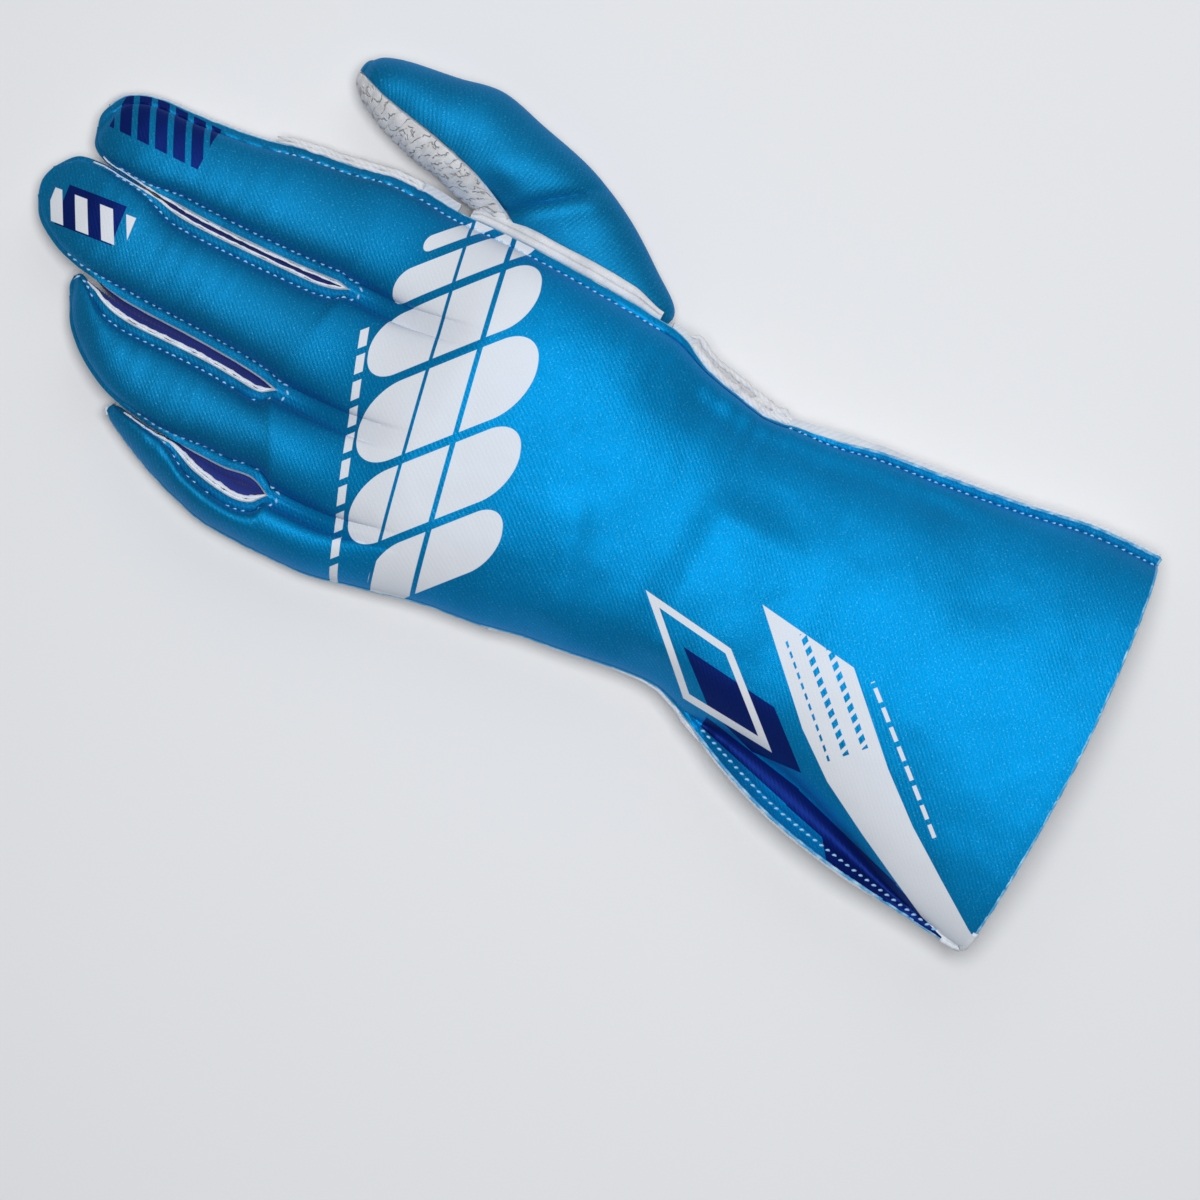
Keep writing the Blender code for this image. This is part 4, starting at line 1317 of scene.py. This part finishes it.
def edge_finish(name, roughness, sheen, fibres, spots, share, colours, light, depth):
    """Frayed cloth in two colours. spots: scale, level and sharpness of the second one's patches."""
    finish = Finish(name, roughness, sheen=sheen)
    _, _, place = finish.cloth()
    fibre = finish.grain(place, fibres, 3.0, 0.7)
    patches = finish.spots(place, *spots, 3.0)
    colour = finish.mixed(patches * share, *colours)
    return finish.finish(finish.brightened(colour, light + fibre * (2 - 2 * light)), fibre, depth)


def thread_finish():
    finish = Finish("seam_thread", 0.5, sheen=0.1)
    place = finish.node("ShaderNodeTexCoord", {}, {})
    place = Field(finish, place.outputs["Object"])
    tone = finish.grain(place, 900.0, 2.0)
    colour = finish.mixed(tone, (0.14, 0.46, 0.78, 1.0), (0.50, 0.76, 0.93, 1.0))
    return finish.finish(colour)


def stitch_paths(points, ids, fingers):
    """The lines of stitches that show: cuff and hand, both sides of each slot and its end."""
    hand_y = points[ids[:, 0], 1]
    paths = [points[ids[(hand_y > 7) & (hand_y < 88), FLANGE]]]
    for low, high in ((-10, 102), (141, 300)):
        paths.append(points[ids[(hand_y > low) & (hand_y < high), -FLANGE - 1]])
    index = fingers[-1]
    index_side = points[index[1:, FLANGE + DOME]]
    paths.append(index_side[index_side[:, 1] < INDEX_WHITE_END * HAND_LENGTH])
    turn = np.linspace(np.pi, 2 * np.pi, 13)[1:-1]
    loop = np.column_stack([np.cos(turn), np.sin(turn), np.zeros(len(turn))])
    for number in range(len(fingers) - 1):
        end = FINGERS[number].ends_right * HAND_LENGTH + 4
        before = points[fingers[number][1:, FLANGE + DOME]]
        after = points[fingers[number + 1][1:, FLANGE]]
        crotch = points[fingers[number][0, -1]]
        before, after = before[before[:, 1] < end], after[after[:, 1] < end]
        paths.append(np.concatenate([before[::-1], crotch + HEM * ALLOWANCE * loop, after]))
    return paths


def slot_cords(finger, on_right):
    """The two white cords that lie beside a slot, between the blue cut edge and the gap."""
    edges = outline(finger)
    if on_right:
        edge, into, bare, ends = edges.right, edges.into_right, finger.bare_right, finger.ends_right
    else:
        edge, into, bare, ends = edges.left, edges.into_left, finger.bare_left, finger.ends_left
    back, _, opened = cloth_edges(edge, edges.depth, bare, ends, True)
    back = np.maximum(back, 0.25)
    seam = finger_seams(finger, 1)[on_right]
    shown = np.arange(len(edge)) < len(edge) - 14
    cords = []
    for number, share in enumerate((0.27, 0.76)):
        place = edge + into * (back * share)[:, None]
        place[:, 1] -= SLOT_SETBACK * (1 - ease(lengths(edge) / CROTCH_ROUND))
        run = beside(lengths(edge), share * 9)
        place += into * (0.22 * wavy(run, 2.3, 121))[:, None]
        deep = 0.1 + 0.45 * opened + 0.15 * number
        path = np.column_stack([place, seam - deep])[shown]
        thin = RIBBON * (0.55 + 0.45 * ease(opened[shown] * 1.5))
        thin = thin * (1 + 0.5 * wavy(run, 1.5, 123)[shown])
        cords.append(tube(path, thin * bare / 2.0, 8, 70 + number + int(bare * 10)))
    return cords


def finger_seam(finger):
    """The seam that closes a finger between back and palm, from above its side walls' ends."""
    edges = outline(finger)
    shares, _ = dome_shares()
    upper, lower = finger_seams(finger, 1), finger_seams(finger, -1)
    ends = []
    for low, high in (upper, lower):
        over = low[-1] + (high[-1] - low[-1]) * shares
        ends.append(np.concatenate([low[:-1], over, high[-2::-1]]))
    gap = ends[0] - ends[1] - 2 * PLY
    place = edges.path + edges.inward * 1.5
    number = np.arange(len(place))
    shown = (gap < 4.0) & (number > 6) & (number < len(place) - 7)
    thick = np.clip(gap / 2 + 0.1, 0.4, 1.4)
    line = np.column_stack([place, (ends[0] + ends[1]) / 2])
    return tube(line[shown], thick[shown], 8, 111)


def wrist_gathers():
    """The crumpled white cords on both sides of the wrist."""
    cords = []
    for side, start, end, out, radius, sway in WRIST_CORDS:
        y = np.arange(start, end, 0.35)
        along = beside(y, out)
        sign = 1.0 if side == "radial" else -1.0
        ends = ease(np.minimum(y - start, end - y) / 4.0)
        x = section(y, side, HAND_WIDTH)
        x = x + sign * (out * (0.4 + 0.6 * ends) + sway * wavy(along, 3.0, 91))
        z = section(y, "seam_" + side, DEPTH) - 0.3 + 0.5 * wavy(along, 3.6, 93)
        z += np.minimum(section(y, "roll"), 0.0) * (side == "radial")
        thick = radius * (0.35 + 0.65 * ends) * (1 + 0.42 * wavy(along, 2.1, 95))
        cords.append(tube(np.column_stack([x, y, z]), thick, 10, 97))
    return cords


def index_gathers():
    """The lumpy white cords beside the index finger."""
    cords = []
    edges = outline(FINGERS[-1])
    right = edges.right
    seam = finger_seams(FINGERS[-1], 1)[1]
    shown = right[:, 1] < INDEX_WHITE_END * HAND_LENGTH
    for out, radius, drop in ((0.4, 0.6, 1.6), (1.5, 0.75, 1.9)):
        run = beside(lengths(right), out)
        place = right - edges.into_right * (out + 0.35 * wavy(run, 3.4, 101))[:, None]
        thick = radius * (1 + 0.4 * wavy(run, 2.3, 103))
        path = np.column_stack([place, seam - drop + 0.4 * wavy(run, 3.0, 105)])[shown]
        ends = ease((path[-1, 1] - path[:, 1]) / 6.0)
        cords.append(tube(path, thick[shown] * (0.3 + 0.7 * ends), 10, 107))
    return cords


def rounded_piece(name, sheets, finish):
    made = piece_of(name, joined(sheets), (finish,))
    for face in made.data.polygons:
        face.use_smooth = True
    return made


def build_back(blue, white, lining, frayed, cut_line, thread):
    sheet, ids, fingers = panel(1)
    cloth_piece(
        "back_fabric", sheet, PLY, -1.0, (blue, lining), "back_panel"
    )
    points = sheet.points
    ground = BVHTree.FromPolygons([Vector(p) for p in points], sheet.faces)
    stitches = []
    for number, path in enumerate(stitch_paths(points, ids, fingers)):
        stitches += stitch_line(path, ground, float(number))
    rounded_piece("seam_stitches", stitches, thread)
    cords = []
    for number, finger in enumerate(FINGERS):
        if finger.wall_right:
            cords += slot_cords(finger, True)
        if finger.bare_left > 1:
            cords += slot_cords(finger, False)
    rounded_piece("slot_edges", cords, frayed)
    rounded_piece("wrist_gathers", wrist_gathers() + index_gathers(), white)
    rounded_piece("finger_seams", [finger_seam(finger) for finger in FINGERS], white)
    first, index = fingers[0], fingers[-1]
    ulnar = np.concatenate([points[ids[:, 0]], points[first[1:, 0]]])
    radial = np.concatenate([points[ids[:, -1]], points[index[1:, -1]]])
    cuff = points[ids[0]]
    cut = []
    for rim in (ulnar, radial, cuff):
        thin = 0.24 + 0.18 * ease((95 - rim[:, 1]) / 12.0)
        cut.append(tube(rim - np.array([0.0, 0.0, 0.35]), thin, 6, 80))
    rounded_piece("cut_edges", cut, cut_line)
    corner = np.concatenate([points[ids[4:0:-1, 0]], cuff[cuff[:, 0] < -55.5]])
    corner = corner - np.array([0.0, 0.0, 0.45])
    tab = tube(corner, np.full(len(corner), 0.85), 8, 83)
    rounded_piece("corner_edge", [tab], frayed)
    return points, ids


def build_glove():
    blue = blue_twill()
    white = plain_cloth("white_palm", (0.80, 0.81, 0.84), (0.62, 0.61, 0.62), 0.75, 0.4, 0.8)
    lining = plain_cloth("lining", (0.70, 0.74, 0.80), (0.45, 0.50, 0.60), 0.85, 0.9, 1.2)
    navy = plain_cloth("navy_side_wall", (0.010, 0.030, 0.26), (0.004, 0.012, 0.12), 0.8, 0.6, 1.0)
    welt_cloth = welt_finish()
    frayed = edge_finish(
        "raw_edge", 0.85, 0.3, 3.2, (0.30, 0.52, 4.0), 0.5,
        ((0.80, 0.84, 0.90, 1.0), (0.30, 0.50, 0.75, 1.0)), 0.75, 0.25,
    )
    cut_line = edge_finish(
        "cut_edge", 0.8, 0.2, 3.0, (0.25, 0.45, 5.0), 1.0,
        ((0.05, 0.36, 0.70, 1.0), (0.42, 0.70, 0.90, 1.0)), 0.7, 0.2,
    )
    points, ids = build_back(blue, white, lining, frayed, cut_line, thread_finish())
    cloth_piece(
        "palm_fabric", palm_panel(), PLY, -1.0, (white, lining), "palm_panel",
    )
    pinky, ring, middle, index = FINGERS
    for name, first, second, bow in (
        ("ring_pinky", pinky, ring, WALL_BOWS[0]),
        ("middle_ring", ring, middle, WALL_BOWS[1]),
        ("index_middle", middle, index, WALL_BOWS[2]),
    ):
        cloth_piece(
            "wall_" + name, side_wall(first, second, bow), WALL_PLY, 0.0, (navy, navy),
            "fourchette_" + name,
        )
    sheet, grid = thumb_panel(True)
    cloth_piece(
        "thumb_back_fabric", sheet, PLY, 1.0, (blue, lining), "thumb_back",
    )
    rim = grid[8:, 0] + np.array([0.0, 0.0, -0.2])
    edge = tube(rim, np.full(len(rim), 0.40), 6, 85)
    rounded_piece("thumb_edge", [edge], frayed)
    sheet, _ = thumb_panel(False)
    cloth_piece(
        "thumb_palm_fabric", sheet, PLY, 1.0, (embossed_palm(), lining), "thumb_palm",
    )
    cloth_piece(
        "folded_welt", welt(points[ids[:, -1]]), WELT_PLY, 0.0, (welt_cloth, welt_cloth),
        "radial_welt",
    )


def area_light(name, place, target, size, power):
    light = bpy.data.lights.new(name, "AREA")
    light.shape = "DISK"
    light.size = size
    light.energy = power
    made = linked(name, light)
    made.location = place
    made.rotation_euler = (target - place).to_track_quat("-Z", "Y").to_euler()


def build_studio():
    bpy.ops.object.select_all(action="DESELECT")
    bpy.ops.mesh.primitive_plane_add(size=6.0, location=(0.0, 0.0, cad_bounds[0][2]))
    floor = bpy.context.object
    floor.name = "floor"
    finish = Finish("studio_floor", 0.9)
    finish.finish((0.80, 0.81, 0.83, 1.0))
    floor.data.materials.append(finish.material)
    middle = Vector((*VIEW_MIDDLE, GLOVE_HEIGHT))
    over_cuff = Vector((-0.010, -0.070, GLOVE_HEIGHT))
    above = Vector((0, 0, 1.05))
    area_light("key", over_cuff + PHOTO_UP * 0.06 + above, over_cuff, 0.45, KEY_POWER)
    aside = PHOTO_UP * 0.9 + PHOTO_RIGHT * 0.3 + Vector((0, 0, 0.8))
    area_light("fill", middle + aside, middle, 0.9, FILL_POWER)
    world = bpy.data.worlds.new("studio")
    bpy.context.scene.world = world
    world.use_nodes = True
    sky = world.node_tree.nodes["Background"]
    sky.inputs[0].default_value = (0.9, 0.95, 1.0, 1.0)
    sky.inputs[1].default_value = SKY_STRENGTH
    data = bpy.data.cameras.new("camera")
    data.sensor_width = SENSOR
    data.lens = SENSOR * (CAMERA_HEIGHT - GLOVE_HEIGHT) / VIEW_WIDTH
    camera = linked("camera", data)
    camera.location = (middle.x, middle.y, CAMERA_HEIGHT)
    camera.rotation_euler = (0.0, 0.0, math.atan2(PHOTO_RIGHT.y, PHOTO_RIGHT.x))
    bpy.context.scene.camera = camera
    bpy.context.scene.view_settings.view_transform = "Standard"


build_glove()
build_studio()
